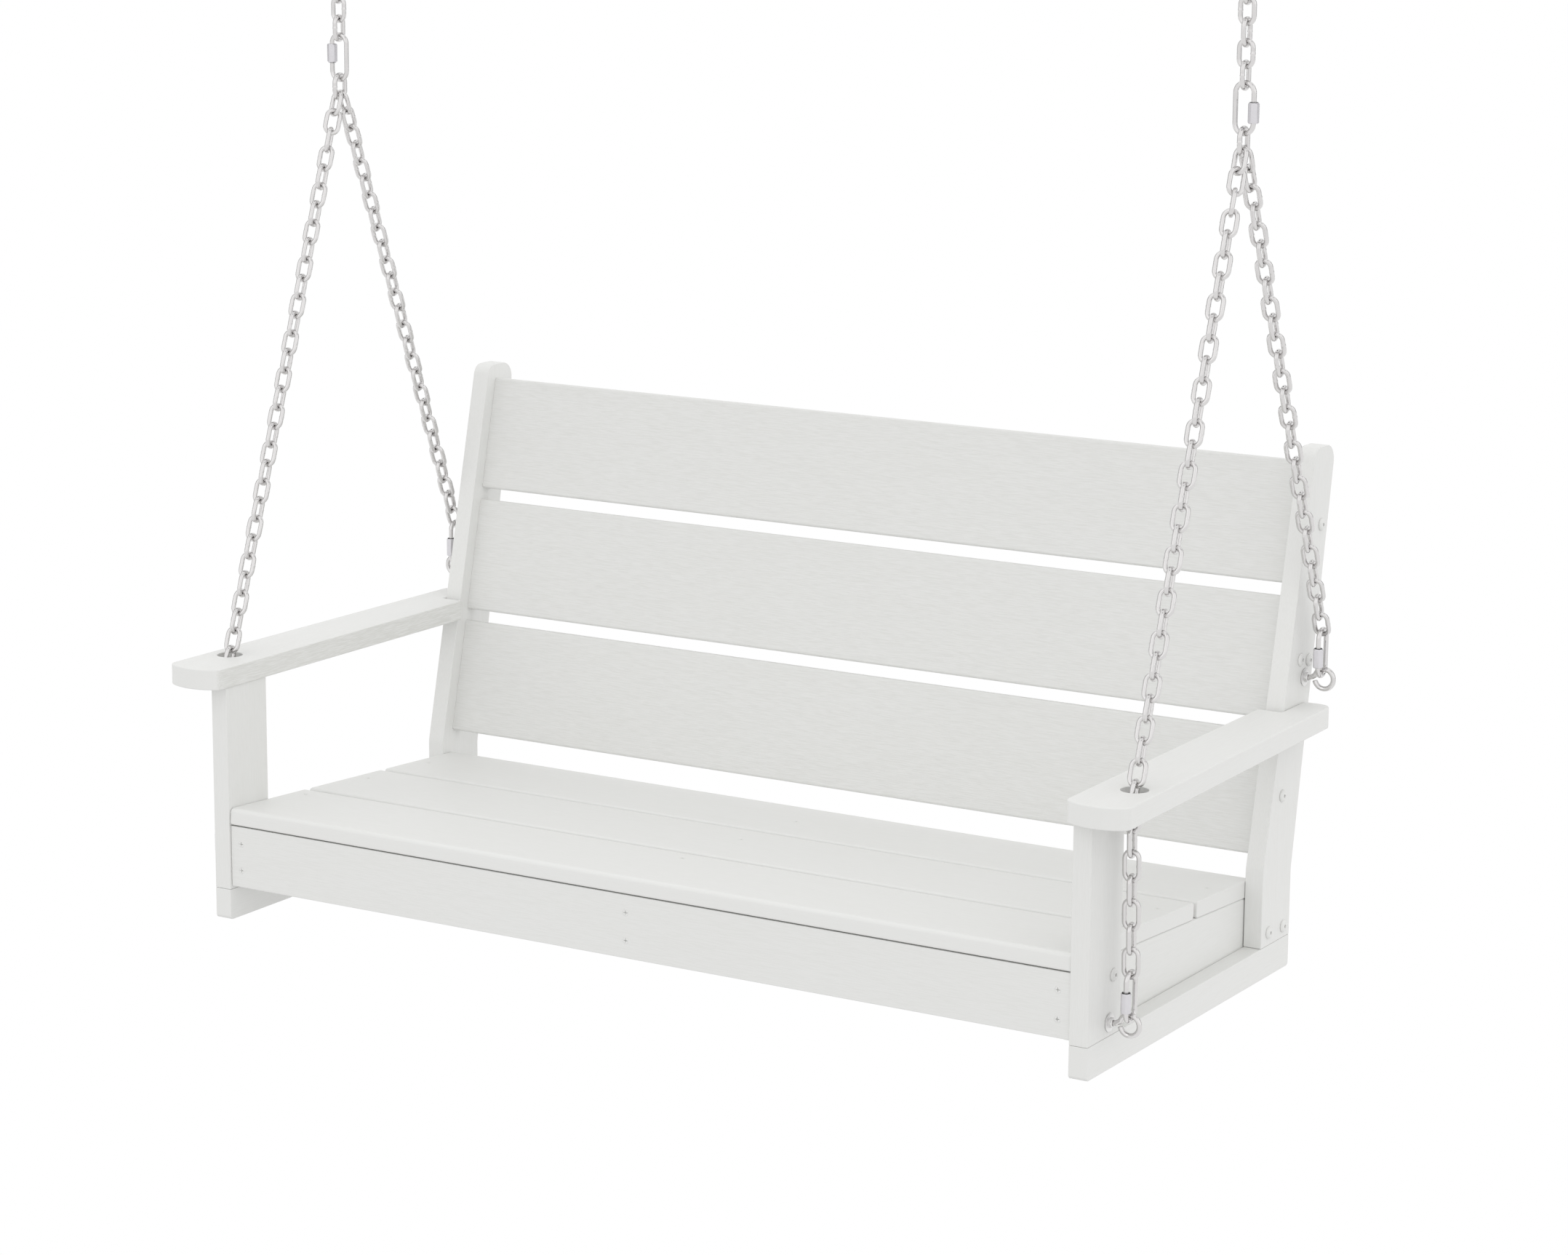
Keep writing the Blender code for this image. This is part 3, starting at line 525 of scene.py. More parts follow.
def box_board(name, size, ease):
    """A board about the origin, every edge rounded."""
    shape = bmesh.new()
    bmesh.ops.create_cube(shape, size=1.0)
    bmesh.ops.scale(shape, vec=size, verts=shape.verts)
    round_edges(shape, ease)
    return mesh_from(name, shape)


def front_edge_y(z):
    return REAR_POST_FRONT_Y + FRONT_LEAN * (z - FRONT_BEND_Z)


def rear_edge_y(z):
    return BASE_DEPTH + REAR_LEAN * (z - REAR_BEND_Z)


def seat_under_z(y):
    return SEAT_UNDER_Z + SEAT_SLOPE * y


def eye_hole(eye):
    """The hole of an eye bolt's shank, and the circle in which edges stay sharp."""
    y, z = eye[0], eye[1] + EYE_SHANK_RISE
    return circle(y, z, EYE_HOLE_RADIUS, 20), (y, z, EYE_HOLE_RADIUS + 0.001)


def side_frame(side, sign):
    """Base rail, both posts and the seat's side rail."""
    x = sign * (POST_OUT_X + POST_IN_X) / 2
    outline = rectangle(0.0, 0.0, BASE_DEPTH, BASE_HEIGHT, 0.005, 0.005, JOINT_EDGE, JOINT_EDGE)
    mesh = upright_plate(f"base_rail_{side}", outline, BOARD, x, ease=0.0028)
    lumber_piece(f"base_rail_{side}", mesh, "y")

    hole, sharp = eye_hole(FRONT_EYE)
    outline = rectangle(0.0, POST_BOTTOM_Z, FRONT_POST_DEPTH, ARM_BOTTOM_Z - GAP, JOINT_EDGE)
    mesh = upright_plate(
        f"front_post_{side}", outline, BOARD, x, holes=(hole,), keep=(sharp,), ease=0.0034
    )
    lumber_piece(f"front_post_{side}", mesh, "z")

    hole, sharp = eye_hole(REAR_EYE)
    outline = rounded(
        (
            (REAR_POST_FRONT_Y, POST_BOTTOM_Z, JOINT_EDGE),
            (BASE_DEPTH, POST_BOTTOM_Z, JOINT_EDGE),
            (BASE_DEPTH, REAR_BEND_Z, 0.04),
            (rear_edge_y(REAR_POST_TOP_Z), REAR_POST_TOP_Z, 0.0206),
            (front_edge_y(REAR_POST_TOP_Z), REAR_POST_TOP_Z, 0.0154),
            (REAR_POST_FRONT_Y, FRONT_BEND_Z, 0.04),
        ),
        8,
    )
    mesh = upright_plate(
        f"rear_post_{side}", outline, BOARD, x, holes=(hole,), keep=(sharp,), ease=0.0034
    )
    lumber_piece(f"rear_post_{side}", mesh, "z")

    hole, sharp = eye_hole(FRONT_EYE)
    start = APRON_Y + BOARD + GAP
    outline = (
        (start, SIDE_RAIL_BOTTOM_Z),
        (SIDE_RAIL_REAR_Y, SIDE_RAIL_BOTTOM_Z),
        (SIDE_RAIL_REAR_Y, seat_under_z(SIDE_RAIL_REAR_Y) - GAP),
        (start, seat_under_z(start) - GAP),
    )
    middle_x = x - sign * (BOARD + GAP + SHADOW_GAP / 2)
    mesh = upright_plate(
        f"side_rail_{side}", outline, BOARD - SHADOW_GAP, middle_x, holes=(hole,), keep=(sharp,),
        ease=0.0030,
    )
    lumber_piece(f"side_rail_{side}", mesh, "y")


def armrest(side, sign):
    """A tapered arm with a bowed front, notched round the rear post."""
    notch_x = POST_OUT_X + 0.0005
    arm_in = (ARM_IN_X - ARM_IN_TAPER * ARM_FRONT_Y, ARM_FRONT_Y)
    arm_out = (ARM_OUT_X - ARM_OUT_TAPER * ARM_FRONT_Y, ARM_FRONT_Y)
    middle_x = (arm_in[0] + arm_out[0]) / 2
    bow_half = (arm_out[0] - arm_in[0]) / 2
    corners = [(*arm_in, 0.013)]
    for index in range(-3, 4):
        share = index / 5
        drop = ARM_BOW * (1 - share * share)
        corners.append((middle_x + share * bow_half, ARM_FRONT_Y - drop, 0.0))
    corners += [
        (*arm_out, 0.0145),
        (ARM_OUT_X - ARM_OUT_TAPER * ARM_REAR_Y, ARM_REAR_Y, 0.015),
        (notch_x, ARM_REAR_Y, 0.0015),
        (notch_x, ARM_NOTCH_Y, 0.0015),
        (ARM_IN_X - ARM_IN_TAPER * ARM_NOTCH_Y, ARM_NOTCH_Y, 0.004),
    ]
    outline = [(sign * x, y) for x, y in rounded(corners, 7)]
    hole = circle(sign * ARM_HOLE[0], ARM_HOLE[1], ARM_HOLE_RADIUS, 40)
    sharp = (sign * ARM_HOLE[0], ARM_HOLE[1], ARM_HOLE_RADIUS + 0.001)
    mesh = plate(
        f"armrest_{side}", outline, ARM_TOP_Z - ARM_BOTTOM_Z, holes=(hole,), ease=ARM_EDGE,
        segments=6, keep=(sharp,), keep_ease=0.0008,
    )
    mesh.transform(Matrix.Translation((0.0, 0.0, (ARM_TOP_Z + ARM_BOTTOM_Z) / 2)))
    lumber_piece(f"armrest_{side}", mesh, "arm")


def screw_holes(places, matrix_of):
    """Counterbores for flush screw heads."""
    reach = SCREW_RADIUS + 0.0001
    bore = turned("counterbore", [(-SCREW_BORE_DEPTH, reach), (0.001, reach)], 24)
    return joined("counterbores", [(bore, matrix_of(place)) for place in places])


def seat_frame():
    """The apron, the rear rail and the centre support."""
    outline = (
        (APRON_Y, RAIL_BOTTOM_Z),
        (APRON_Y + BOARD, RAIL_BOTTOM_Z),
        (APRON_Y + BOARD, seat_under_z(APRON_Y + BOARD) - APRON_GAP),
        (APRON_Y, seat_under_z(APRON_Y) - APRON_GAP),
    )
    mesh = upright_plate("front_apron", outline, 2 * (POST_IN_X - GAP), ease=0.0012)
    places = [(x, z) for x in APRON_SCREW_X for z in APRON_SCREW_Z]
    mesh = cut(mesh, screw_holes(places, apron_screw_matrix))
    lumber_piece("front_apron", mesh, "x")
    heads = [(SCREW_HEAD, apron_screw_matrix(place)) for place in places]
    add_trim("apron_screws", joined("apron_screws", heads))

    rail_x = POST_IN_X - BOARD - 3 * GAP
    size = (2 * rail_x, BOARD, REAR_RAIL_TOP_Z - RAIL_BOTTOM_Z)
    mesh = box_board("rear_rail", size, 0.0030)
    middle = (0.0, REAR_RAIL_Y + BOARD / 2, (RAIL_BOTTOM_Z + REAR_RAIL_TOP_Z) / 2)
    mesh.transform(Matrix.Translation(middle))
    lumber_piece("rear_rail", mesh, "x")

    start = APRON_Y + BOARD + GAP
    stop = REAR_RAIL_Y - GAP
    outline = (
        (start, RAIL_BOTTOM_Z),
        (stop, RAIL_BOTTOM_Z),
        (stop, seat_under_z(stop) - GAP),
        (start, seat_under_z(start) - GAP),
    )
    mesh = upright_plate("centre_seat_support", outline, 2 * SUPPORT_HALF, ease=0.0030)
    lumber_piece("centre_seat_support", mesh, "y")


def apron_screw_matrix(place):
    x, z = place
    turn = Matrix.Rotation(QUARTER, 4, "X") @ Matrix.Rotation(0.06 * x, 4, "Z")
    return Matrix.Translation((x, APRON_Y, z)) @ turn


def seat_screw_matrix(place):
    x, y = place
    tilt = math.atan(SEAT_SLOPE)
    lift = Vector((0.0, -math.sin(tilt), math.cos(tilt))) * SLAT_THICKNESS
    turn = Matrix.Rotation(tilt, 4, "X") @ Matrix.Rotation(0.3 + x, 4, "Z")
    return Matrix.Translation(Vector((x, y, seat_under_z(y))) + lift) @ turn


def seat_slats():
    tilt = math.atan(SEAT_SLOPE)
    half_depth, half_high = SEAT_SLAT_DEPTH / 2, SLAT_THICKNESS / 2
    heads = []
    for index, place in enumerate(("front", "middle", "rear")):
        node = f"seat_slat_{place}"
        under, nose = (0.0025, 0.0055) if place == "front" else (EDGE, EDGE)
        section = rectangle(
            -half_depth, -half_high, half_depth, half_high, under, EDGE, EDGE, nose
        )
        mesh = upright_plate(node, section, 2 * SEAT_SLAT_HALF, ease=0.0014)
        y = SEAT_SLAT_FRONT_Y + half_depth + index * SEAT_SLAT_PITCH
        lift = Vector((0.0, -math.sin(tilt), math.cos(tilt))) * half_high
        centre = Vector((0.0, y, seat_under_z(y))) + lift
        mesh.transform(Matrix.Translation(centre) @ Matrix.Rotation(tilt, 4, "X"))
        places = [(x, SEAT_SCREW_Y[index]) for x in SEAT_SCREW_X]
        mesh = cut(mesh, screw_holes(places, seat_screw_matrix))
        heads += [(SCREW_HEAD, seat_screw_matrix(place)) for place in places]
        lumber_piece(node, mesh, "smooth")
    add_trim("seat_screws", joined("seat_screws", heads))


def back_slats():
    lean = math.atan(FRONT_LEAN)
    along = Vector((0.0, math.sin(lean), math.cos(lean)))
    behind = Vector((0.0, math.cos(lean), -math.sin(lean)))
    half_thick, half_wide = SLAT_THICKNESS / 2, BACK_SLAT_WIDTH / 2
    section = rectangle(-half_thick, -half_wide, half_thick, half_wide, 0.0034)
    for index, place in enumerate(("bottom", "middle", "top")):
        low_z = BACK_SLAT_LOW_Z + index * BACK_SLAT_RISE
        edge = Vector((0.0, front_edge_y(low_z) + BACK_SLAT_RECESS, low_z))
        centre = edge + along * BACK_SLAT_WIDTH / 2 + behind * SLAT_THICKNESS / 2
        node = f"back_slat_{place}"
        mesh = upright_plate(node, section, 2 * BACK_SLAT_HALF, ease=0.0003)
        mesh.transform(Matrix.Translation(centre) @ Matrix.Rotation(-lean, 4, "X"))
        # The back material's darker colour is painted shade.
        lumber_piece(node, mesh, "back")


# ------------------------ turned parts
def skin(shape, loops, closed):
    """Faces between neighbouring loops, and from the last to the first if `closed`."""
    pairs = list(zip(loops, loops[1:]))
    if closed:
        pairs.append((loops[-1], loops[0]))
    for below, above in pairs:
        for step in range(len(below)):
            after = (step + 1) % len(below)
            shape.faces.new((below[step], below[after], above[after], above[step]))


def turned(name, rings, sides, hollow=False):
    """A turned solid from (z, radius) rings; a radius may be a function of angle and z."""
    shape = bmesh.new()
    loops = []
    for z, radius in rings:
        loop = []
        for step in range(sides):
            angle = 2 * math.pi * step / sides
            reach = radius(angle, z) if callable(radius) else radius
            loop.append(shape.verts.new((reach * math.cos(angle), reach * math.sin(angle), z)))
        loops.append(loop)
    skin(shape, loops, hollow)
    if not hollow:
        shape.faces.new(list(reversed(loops[0])))
        shape.faces.new(loops[-1])
    return mesh_from(name, shape)


def hexagon(across, limit=None):
    """Radius of a hexagon bar, its corners cut back to `limit` as by a chamfer."""
    corner = limit or across / 2 * 1.13

    def radius(angle, z):
        offset = (angle + math.pi / 6) % (math.pi / 3) - math.pi / 6
        return min(across / 2 / math.cos(offset), corner)

    return radius


def thread(radius, depth, pitch):
    """Radius of a screw thread at an angle and height."""

    def reach(angle, z):
        phase = (z / pitch - angle / (2 * math.pi)) % 1.0
        return radius - depth * abs(2 * phase - 1)

    return reach


def thread_rings(start, stop, radius, depth, pitch, steps=6):
    count = max(2, round((stop - start) / pitch * steps))
    shaped = thread(radius, depth, pitch)
    return [(start + (stop - start) * index / count, shaped) for index in range(count + 1)]


def cross(size, slot):
    """Radius of a cross-shaped recess with arms of width `slot`."""

    def radius(angle, z):
        offset = (angle + math.pi / 4) % QUARTER - math.pi / 4
        return min(size, slot / 2 / max(0.001, abs(math.sin(offset))))

    return radius


def cap_mesh():
    """A low round bolt cap with a small hexagon recess."""
    rim, crown, sweep = 0.0009, 0.0026, 0.72
    dome = []
    for index in range(7):
        angle = QUARTER * index / 6 * sweep
        height = rim + (CAP_HEIGHT - rim) * math.sin(angle) / math.sin(QUARTER * sweep)
        dome.append((height, crown + (CAP_RADIUS - crown) * math.cos(angle)))
    pit = hexagon(0.0042)
    neck = CAP_RADIUS - 0.0010
    rings = [(-0.0010, neck), (0.0003, neck), (0.0003, CAP_RADIUS)]
    rings += dome
    rings += [(CAP_HEIGHT + 0.0001, pit), (0.0002, pit)]
    return turned("bolt_cap", rings, 36)


def screw_head_mesh():
    """A flush head with a cross recess."""
    top = 0.00015
    recess = cross(0.0031, 0.0010)
    rings = [
        (-0.0038, SCREW_RADIUS - 0.0004),
        (-0.0006, SCREW_RADIUS),
        (top - 0.0002, SCREW_RADIUS),
        (top, SCREW_RADIUS - 0.0003),
        (top, recess),
        (top - 0.0026, cross(0.0012, 0.0006)),
    ]
    return turned("screw_head", rings, 64)


def add_trim(name, mesh):
    """White fasteners, which the CAD has no nodes for, on the seat."""
    smooth_below(mesh, 30)
    finish_piece(name, mesh, CAP, "seat")


SCREW_HEAD = screw_head_mesh()


def post_caps():
    cap = cap_mesh()
    for side, sign in SIDES.items():
        turn = Matrix.Rotation(sign * QUARTER, 4, "Y")
        caps = []
        for places in CAP_BOLTS.values():
            for y, z in places:
                caps.append((cap, Matrix.Translation((sign * POST_OUT_X, y, z)) @ turn))
        add_trim(f"post_bolt_caps_{side}", joined(f"post_bolt_caps_{side}", caps))


# ------------------------ bent wire
def arc(centre_a, centre_b, radius, start, stop, steps):
    points = []
    for step in range(steps + 1):
        angle = math.radians(start + (stop - start) * step / steps)
        points.append((centre_a + radius * math.cos(angle), centre_b + radius * math.sin(angle)))
    return points


def tube(name, path, radius, closed, sides=14, radii=None):
    """A round wire along a path in the X-Z plane; an open wire has chamfered ends."""
    normal = Vector((0.0, 1.0, 0.0))
    path = [Vector((x, 0.0, z)) for x, z in path]
    count = len(path)
    sizes = radii or [radius] * count
    stations = []
    for index, point in enumerate(path):
        if closed:
            along = path[(index + 1) % count] - path[index - 1]
        else:
            along = path[min(index + 1, count - 1)] - path[max(index - 1, 0)]
        stations.append((point, along.normalized(), sizes[index]))
    if not closed:
        for end, sign in ((0, 1.0), (-1, -1.0)):
            point, along, size = stations[end]
            inner = (point + along * sign * 0.22 * size, along, size)
            outer = (point, along, 0.76 * size)
            if end == 0:
                stations[0:1] = [outer, inner]
            else:
                stations[-1:] = [inner, outer]
    shape = bmesh.new()
    loops = []
    for point, along, size in stations:
        side = along.cross(normal)
        loop = []
        for step in range(sides):
            angle = 2 * math.pi * step / sides
            loop.append(
                shape.verts.new(point + (side * math.cos(angle) + normal * math.sin(angle)) * size)
            )
        loops.append(loop)
    skin(shape, loops, closed)
    if not closed:
        shape.faces.new(loops[0])
        shape.faces.new(loops[-1])
    return mesh_from(name, shape)


def link(name, height, width, wire, steps=12, sides=14):
    """A welded link; `height` is its centre line's, and one side has the weld's swelling."""
    half_width = (width - wire) / 2
    straight = height / 2 - half_width
    path = arc(0.0, straight, half_width, 0, 180, steps)
    radii = [wire / 2] * len(path)
    for share in (0.22, 0.38, 0.46, 0.54, 0.62, 0.78):
        swell = 0.00022 if abs(share - 0.5) < 0.08 else 0.0
        path.append((-half_width, straight * (1 - 2 * share)))
        radii.append(wire / 2 + swell)
    path += arc(0.0, -straight, half_width, 180, 360, steps)
    radii += [wire / 2] * (steps + 1)
    return tube(name, path, wire / 2, True, sides, radii)


def link_frame(centre, direction, roll):
    """Stands a link along `direction`, its plane turned by `roll` degrees."""
    up = Vector(direction).normalized()
    side = Vector((1.0, 0.0, 0.0))
    side = (side - up * side.dot(up)).normalized()
    axes = Matrix((side, up.cross(side), up)).transposed()
    return Matrix.Translation(centre) @ axes.to_4x4() @ Matrix.Rotation(math.radians(roll), 4, "Z")


def chain_run(start, stop, rolls):
    """(mesh, frame) pairs of links that touch one another from `start` down to `stop`."""
    start, stop = Vector(start), Vector(stop)
    pitch = (start - stop).length / len(rolls)
    mesh = link("link", pitch + CHAIN_WIRE - 0.00004, CHAIN_WIDTH, CHAIN_WIRE)
    links = []
    for index, roll in enumerate(rolls):
        centre = start.lerp(stop, (index + 0.5) / len(rolls))
        # Alternate links have their weld on the other side.
        flip = 180.0 if index % 4 in (1, 2) else 0.0
        links.append((mesh, link_frame(centre, start - stop, roll + flip)))
    return links


def alternating(count, first):
    return [first + CHAIN_ROLL + 90.0 * (index % 2) for index in range(count)]


def suspension_heights():
    z = {}
    z["junction_bottom"] = JUNCTION[2] - JUNCTION_RADIUS
    z["junction_top"] = JUNCTION[2] + JUNCTION_STRAIGHT + JUNCTION_RADIUS
    z["quick_bottom"] = z["junction_top"] - (JUNCTION_WIRE + QUICK_WIRE) / 2 - FREE_GAP
    z["quick_top"] = z["quick_bottom"] + QUICK_HEIGHT
    z["upper_bottom"] = z["quick_top"] - (QUICK_WIRE + CHAIN_WIRE) / 2 - FREE_GAP
    z["upper_top"] = z["upper_bottom"] + UPPER_LINKS * CHAIN_PITCH + CHAIN_WIRE - LINK_BITE
    z["top_link_bottom"] = z["upper_top"] - CHAIN_WIRE - FREE_GAP
    z["top_link_top"] = z["top_link_bottom"] + CHAIN_PITCH + CHAIN_WIRE
    z["eye_bottom"] = z["top_link_top"] - (CHAIN_WIRE + HANGER_WIRE) / 2 - FREE_GAP
    z["plate_bottom"] = z["eye_bottom"] + HANGER_RADIUS + HANGER_DROP
    return z


Z = suspension_heights()


def quick_link(node, sleeve_node, centre, turn, offset=SLEEVE_OFFSET):
    """A bent C whose threaded end shows past the hexagon sleeve that closes it."""
    straight = QUICK_HEIGHT / 2 - QUICK_HALF
    low, high = sorted(share * offset / SLEEVE_OFFSET for share in (-0.0155, -0.0075))
    lead = 0.002 if low > -straight + 0.003 else 0.0005
    path = [(-QUICK_HALF, low), (-QUICK_HALF, low - lead)]
    path += arc(0.0, -straight, QUICK_HALF, 180, 360, 20)
    path += arc(0.0, straight, QUICK_HALF, 0, 180, 20)
    path += [(-QUICK_HALF, high + 0.002), (-QUICK_HALF, high)]
    wire = tube(node, path, QUICK_WIRE / 2, False, 18)
    # The thread that shows beside the sleeve, on the wire's longer free end.
    up = 1.0 if offset < 0 else -1.0
    face = offset + up * SLEEVE_LENGTH / 2
    rings = thread_rings(0.0, 0.0022, QUICK_WIRE / 2 + 0.00015, 0.0004, 0.0010, 8)
    turn_over = Matrix.Rotation(0.0 if up > 0 else math.pi, 4, "X")
    grooves = turned("thread", rings, 24)
    place = Matrix.Translation((-QUICK_HALF, 0.0, face - up * 0.0006)) @ turn_over
    mesh = joined(node, [(wire, Matrix.Identity(4)), (grooves, place)])
    frame_matrix = Matrix.Translation(centre) @ turn.to_4x4()
    mesh.transform(frame_matrix)
    steel_piece(node, mesh)

    half = SLEEVE_LENGTH / 2
    bore = QUICK_WIRE / 2 + 0.00035
    flat = SLEEVE_ACROSS / 2
    rings = [
        (-half + 0.0010, bore),
        (-half, bore + 0.0008),
        (-half, flat * 0.94),
        (-half + 0.0009, hexagon(SLEEVE_ACROSS, flat * 1.07)),
        (-half + 0.0016, hexagon(SLEEVE_ACROSS)),
        (half - 0.0016, hexagon(SLEEVE_ACROSS)),
        (half - 0.0009, hexagon(SLEEVE_ACROSS, flat * 1.07)),
        (half, flat * 0.94),
        (half, bore + 0.0008),
        (half - 0.0010, bore),
    ]
    mesh = turned(sleeve_node, rings, 48, hollow=True)
    mesh.transform(frame_matrix @ Matrix.Translation((-QUICK_HALF, 0.0, offset)))
    steel_piece(sleeve_node, mesh, SLEEVE, 24.0)
    # A near-black ring at the sleeve's open end is painted shade: it stands in for the shadow in
    # the end's bore.
    rings = [(0.0, bore), (0.0, flat * 0.84), (0.0005, flat * 0.84), (0.0005, bore)]
    ring = turned(sleeve_node + "_ring", rings, 32, hollow=True)
    place = Matrix.Translation((-QUICK_HALF, 0.0, offset + up * half)) @ turn_over
    ring.transform(frame_matrix @ place)
    smooth_below(ring, 30)
    finish_piece(
        f"{sleeve_node}_ring", ring, SLEEVE_END_PAINTED_SHADE, NODE_BODY[sleeve_node]
    )


def quick_centre(sign, place):
    """Middle of a lower quick link, which stands in an eye bolt's ring."""
    eye = EYES[place]
    outward, back, up = QUICK_SHIFT[place]
    lift = EYE_RADIUS - (EYE_WIRE + QUICK_WIRE) / 2 - FREE_GAP + QUICK_HEIGHT / 2
    return Vector((sign * (EYE_X + outward), eye[0] + back, eye[1] + lift + up))


def eye_bolt(node, sign, eye, shank_end_x):
    """A ring bent from bar, with a threaded shank that runs inwards."""
    ring = arc(0.0, 0.0, EYE_RADIUS, *EYE_ARC, 40)
    shoulder = POST_OUT_X - EYE_X + 0.004
    path = [(shoulder, EYE_SHANK_RISE), (-EYE_NECK, EYE_SHANK_RISE)] + ring
    path = [(sign * x, z) for x, z in path]
    bar = tube(node, path, EYE_WIRE / 2, False, 20)
    length = shoulder - (shank_end_x - EYE_X)
    rings = [(0.0, EYE_WIRE / 2 - 0.0008), (0.0006, EYE_WIRE / 2 - 0.0003)]
    rings += thread_rings(0.0008, length + 0.001, EYE_WIRE / 2, 0.00055, 0.0012)
    shank = turned(node + "_shank", rings, 20)
    turn = Matrix.Rotation(sign * QUARTER, 4, "Y")
    place = Matrix.Translation((sign * (shank_end_x - EYE_X), 0.0, EYE_SHANK_RISE)) @ turn
    mesh = joined(node, [(bar, Matrix.Identity(4)), (shank, place)])
    mesh.transform(Matrix.Translation((sign * EYE_X, *eye)))
    steel_piece(node, mesh)


def nut_mesh(name, flange):
    """A hexagon nut that stands on z = 0; its free end is chamfered."""
    bore = EYE_WIRE / 2 + 0.0002
    flat = NUT_ACROSS / 2
    shape = hexagon(NUT_ACROSS)
    height = NUT_HEIGHT
    if flange:
        rings = [
            (0.0, bore + 0.0006),
            (0.0, FLANGE_RADIUS - 0.0004),
            (0.0004, FLANGE_RADIUS),
            (0.0010, FLANGE_RADIUS - 0.0001),
            (0.0018, FLANGE_RADIUS - 0.0022),
            (0.0020, shape),
        ]
    else:
        rings = [
            (0.0, bore + 0.0006),
            (0.0, flat * 0.94),
            (0.0007, hexagon(NUT_ACROSS, flat * 1.06)),
            (0.0012, shape),
        ]
    rings += [
        (height - 0.0012, shape),
        (height - 0.0007, hexagon(NUT_ACROSS, flat * 1.06)),
        (height, flat * 0.94),
        (height, bore + 0.0006),
        (height - 0.0006, bore),
        (0.0006, bore),
    ]
    return turned(name, rings, 48, hollow=True)


def nut(node, sign, inner_x, eye, flange):
    mesh = nut_mesh(node, flange)
    turn = Matrix.Rotation(sign * QUARTER, 4, "Y")
    place = (sign * inner_x, eye[0], eye[1] + EYE_SHANK_RISE)
    mesh.transform(Matrix.Translation(place) @ turn)
    steel_piece(node, mesh, NUT_STEEL, 24.0)


# ------------------------ suspension
def hanger(side, sign):
    x, y = sign * JUNCTION[0], JUNCTION[1]
    half_x, half_y = PLATE[0] / 2, PLATE[1] / 2
    outline = rectangle(-half_x, -half_y, half_x, half_y, 0.006)
    holes = [circle(0.0, step * LAG_SPACING, LAG_RADIUS + 0.0005, 24) for step in (-1, 1)]
    sharp = [(0.0, step * LAG_SPACING, LAG_RADIUS + 0.001) for step in (-1, 1)]
    base = plate(f"hanger_{side}", outline, PLATE[2], holes, 0.0009, 3, sharp)
    top = HANGER_RADIUS + HANGER_DROP + PLATE[2] * 0.6
    path = [(-HANGER_RADIUS, top), (-HANGER_RADIUS, HANGER_RADIUS + 0.004)]
    path += [(a, b + HANGER_RADIUS) for a, b in arc(0.0, 0.0, HANGER_RADIUS, 180, 360, 28)]
    path += [(HANGER_RADIUS, HANGER_RADIUS + 0.004), (HANGER_RADIUS, top)]
    loop = tube("loop", path, HANGER_WIRE / 2, False, 20)
    weld_rings = [(0.0, 0.0058), (-0.0008, 0.0057), (-0.0017, 0.0050), (-0.0023, 0.0041)]
    weld = turned("weld", list(reversed(weld_rings)), 24)
    parts = [(base, Matrix.Translation((x, y, Z["plate_bottom"] + PLATE[2] / 2)))]
    parts.append((loop, Matrix.Translation((x, y, Z["eye_bottom"]))))
    for step in (-1.0, 1.0):
        place = (x + step * HANGER_RADIUS, y, Z["plate_bottom"] + 0.0002)
        parts.append((weld, Matrix.Translation(place)))
    steel_piece(f"hanger_{side}", joined(f"hanger_{side}", parts))
    for place, step in (("front", -1.0), ("rear", 1.0)):
        node = f"lag_screw_{side}_{place}"
        mesh = lag_screw_mesh(node)
        mesh.transform(Matrix.Translation((x, y + step * LAG_SPACING, Z["plate_bottom"])))
        steel_piece(node, mesh, NUT_STEEL, 24.0)


def lag_screw_mesh(name):
    """Hexagon head below the plate, plain neck, then a thread that tapers to a point."""
    across = 0.0100
    flat = across / 2
    top = PLATE[2] + LAG_LENGTH
    rings = [
        (-0.0053, flat * 0.90),
        (-0.0048, hexagon(across, flat * 1.05)),
        (-0.0042, hexagon(across)),
        (-0.0012, hexagon(across)),
        (-0.0010, 0.0062),
        (-0.0004, 0.0062),
        (-0.0003, LAG_RADIUS),
        (0.0120, LAG_RADIUS),
    ]
    rings += thread_rings(0.0125, top - 0.006, LAG_RADIUS, 0.0008, 0.0022)
    for index in range(1, 9):
        share = index / 8
        rings.append((top - 0.006 + 0.006 * share, (LAG_RADIUS - 0.0004) * (1 - 0.9 * share)))
    return turned(name, rings, 30)


def single_link(node, bottom_z, top_z, width, wire, x, y):
    mesh = link(node, top_z - bottom_z, width, wire, 16, 18)
    mesh.transform(Matrix.Rotation(QUARTER, 4, "Z"))
    mesh.transform(Matrix.Translation((x, y, (bottom_z + top_z) / 2)))
    steel_piece(node, mesh)


def upper_run(side, sign):
    x, y = sign * JUNCTION[0], JUNCTION[1]
    inset = (CHAIN_WIRE - LINK_BITE) / 2
    rolls = [90.0 * (index % 2) for index in range(UPPER_LINKS)]
    links = chain_run(
        (x, y, Z["upper_top"] - inset), (x, y, Z["upper_bottom"] + inset), rolls
    )
    steel_piece(f"upper_chain_{side}", joined(f"upper_chain_{side}", links))
    middle = (x, y, (Z["quick_bottom"] + Z["quick_top"]) / 2)
    offset = SLEEVE_OFFSET if sign > 0 else -SLEEVE_OFFSET
    turn = Matrix.Rotation(math.pi if sign > 0 else 0.0, 3, "Z")
    quick_link(f"quick_link_{side}_top", f"quick_link_sleeve_{side}_top", middle, turn, offset)


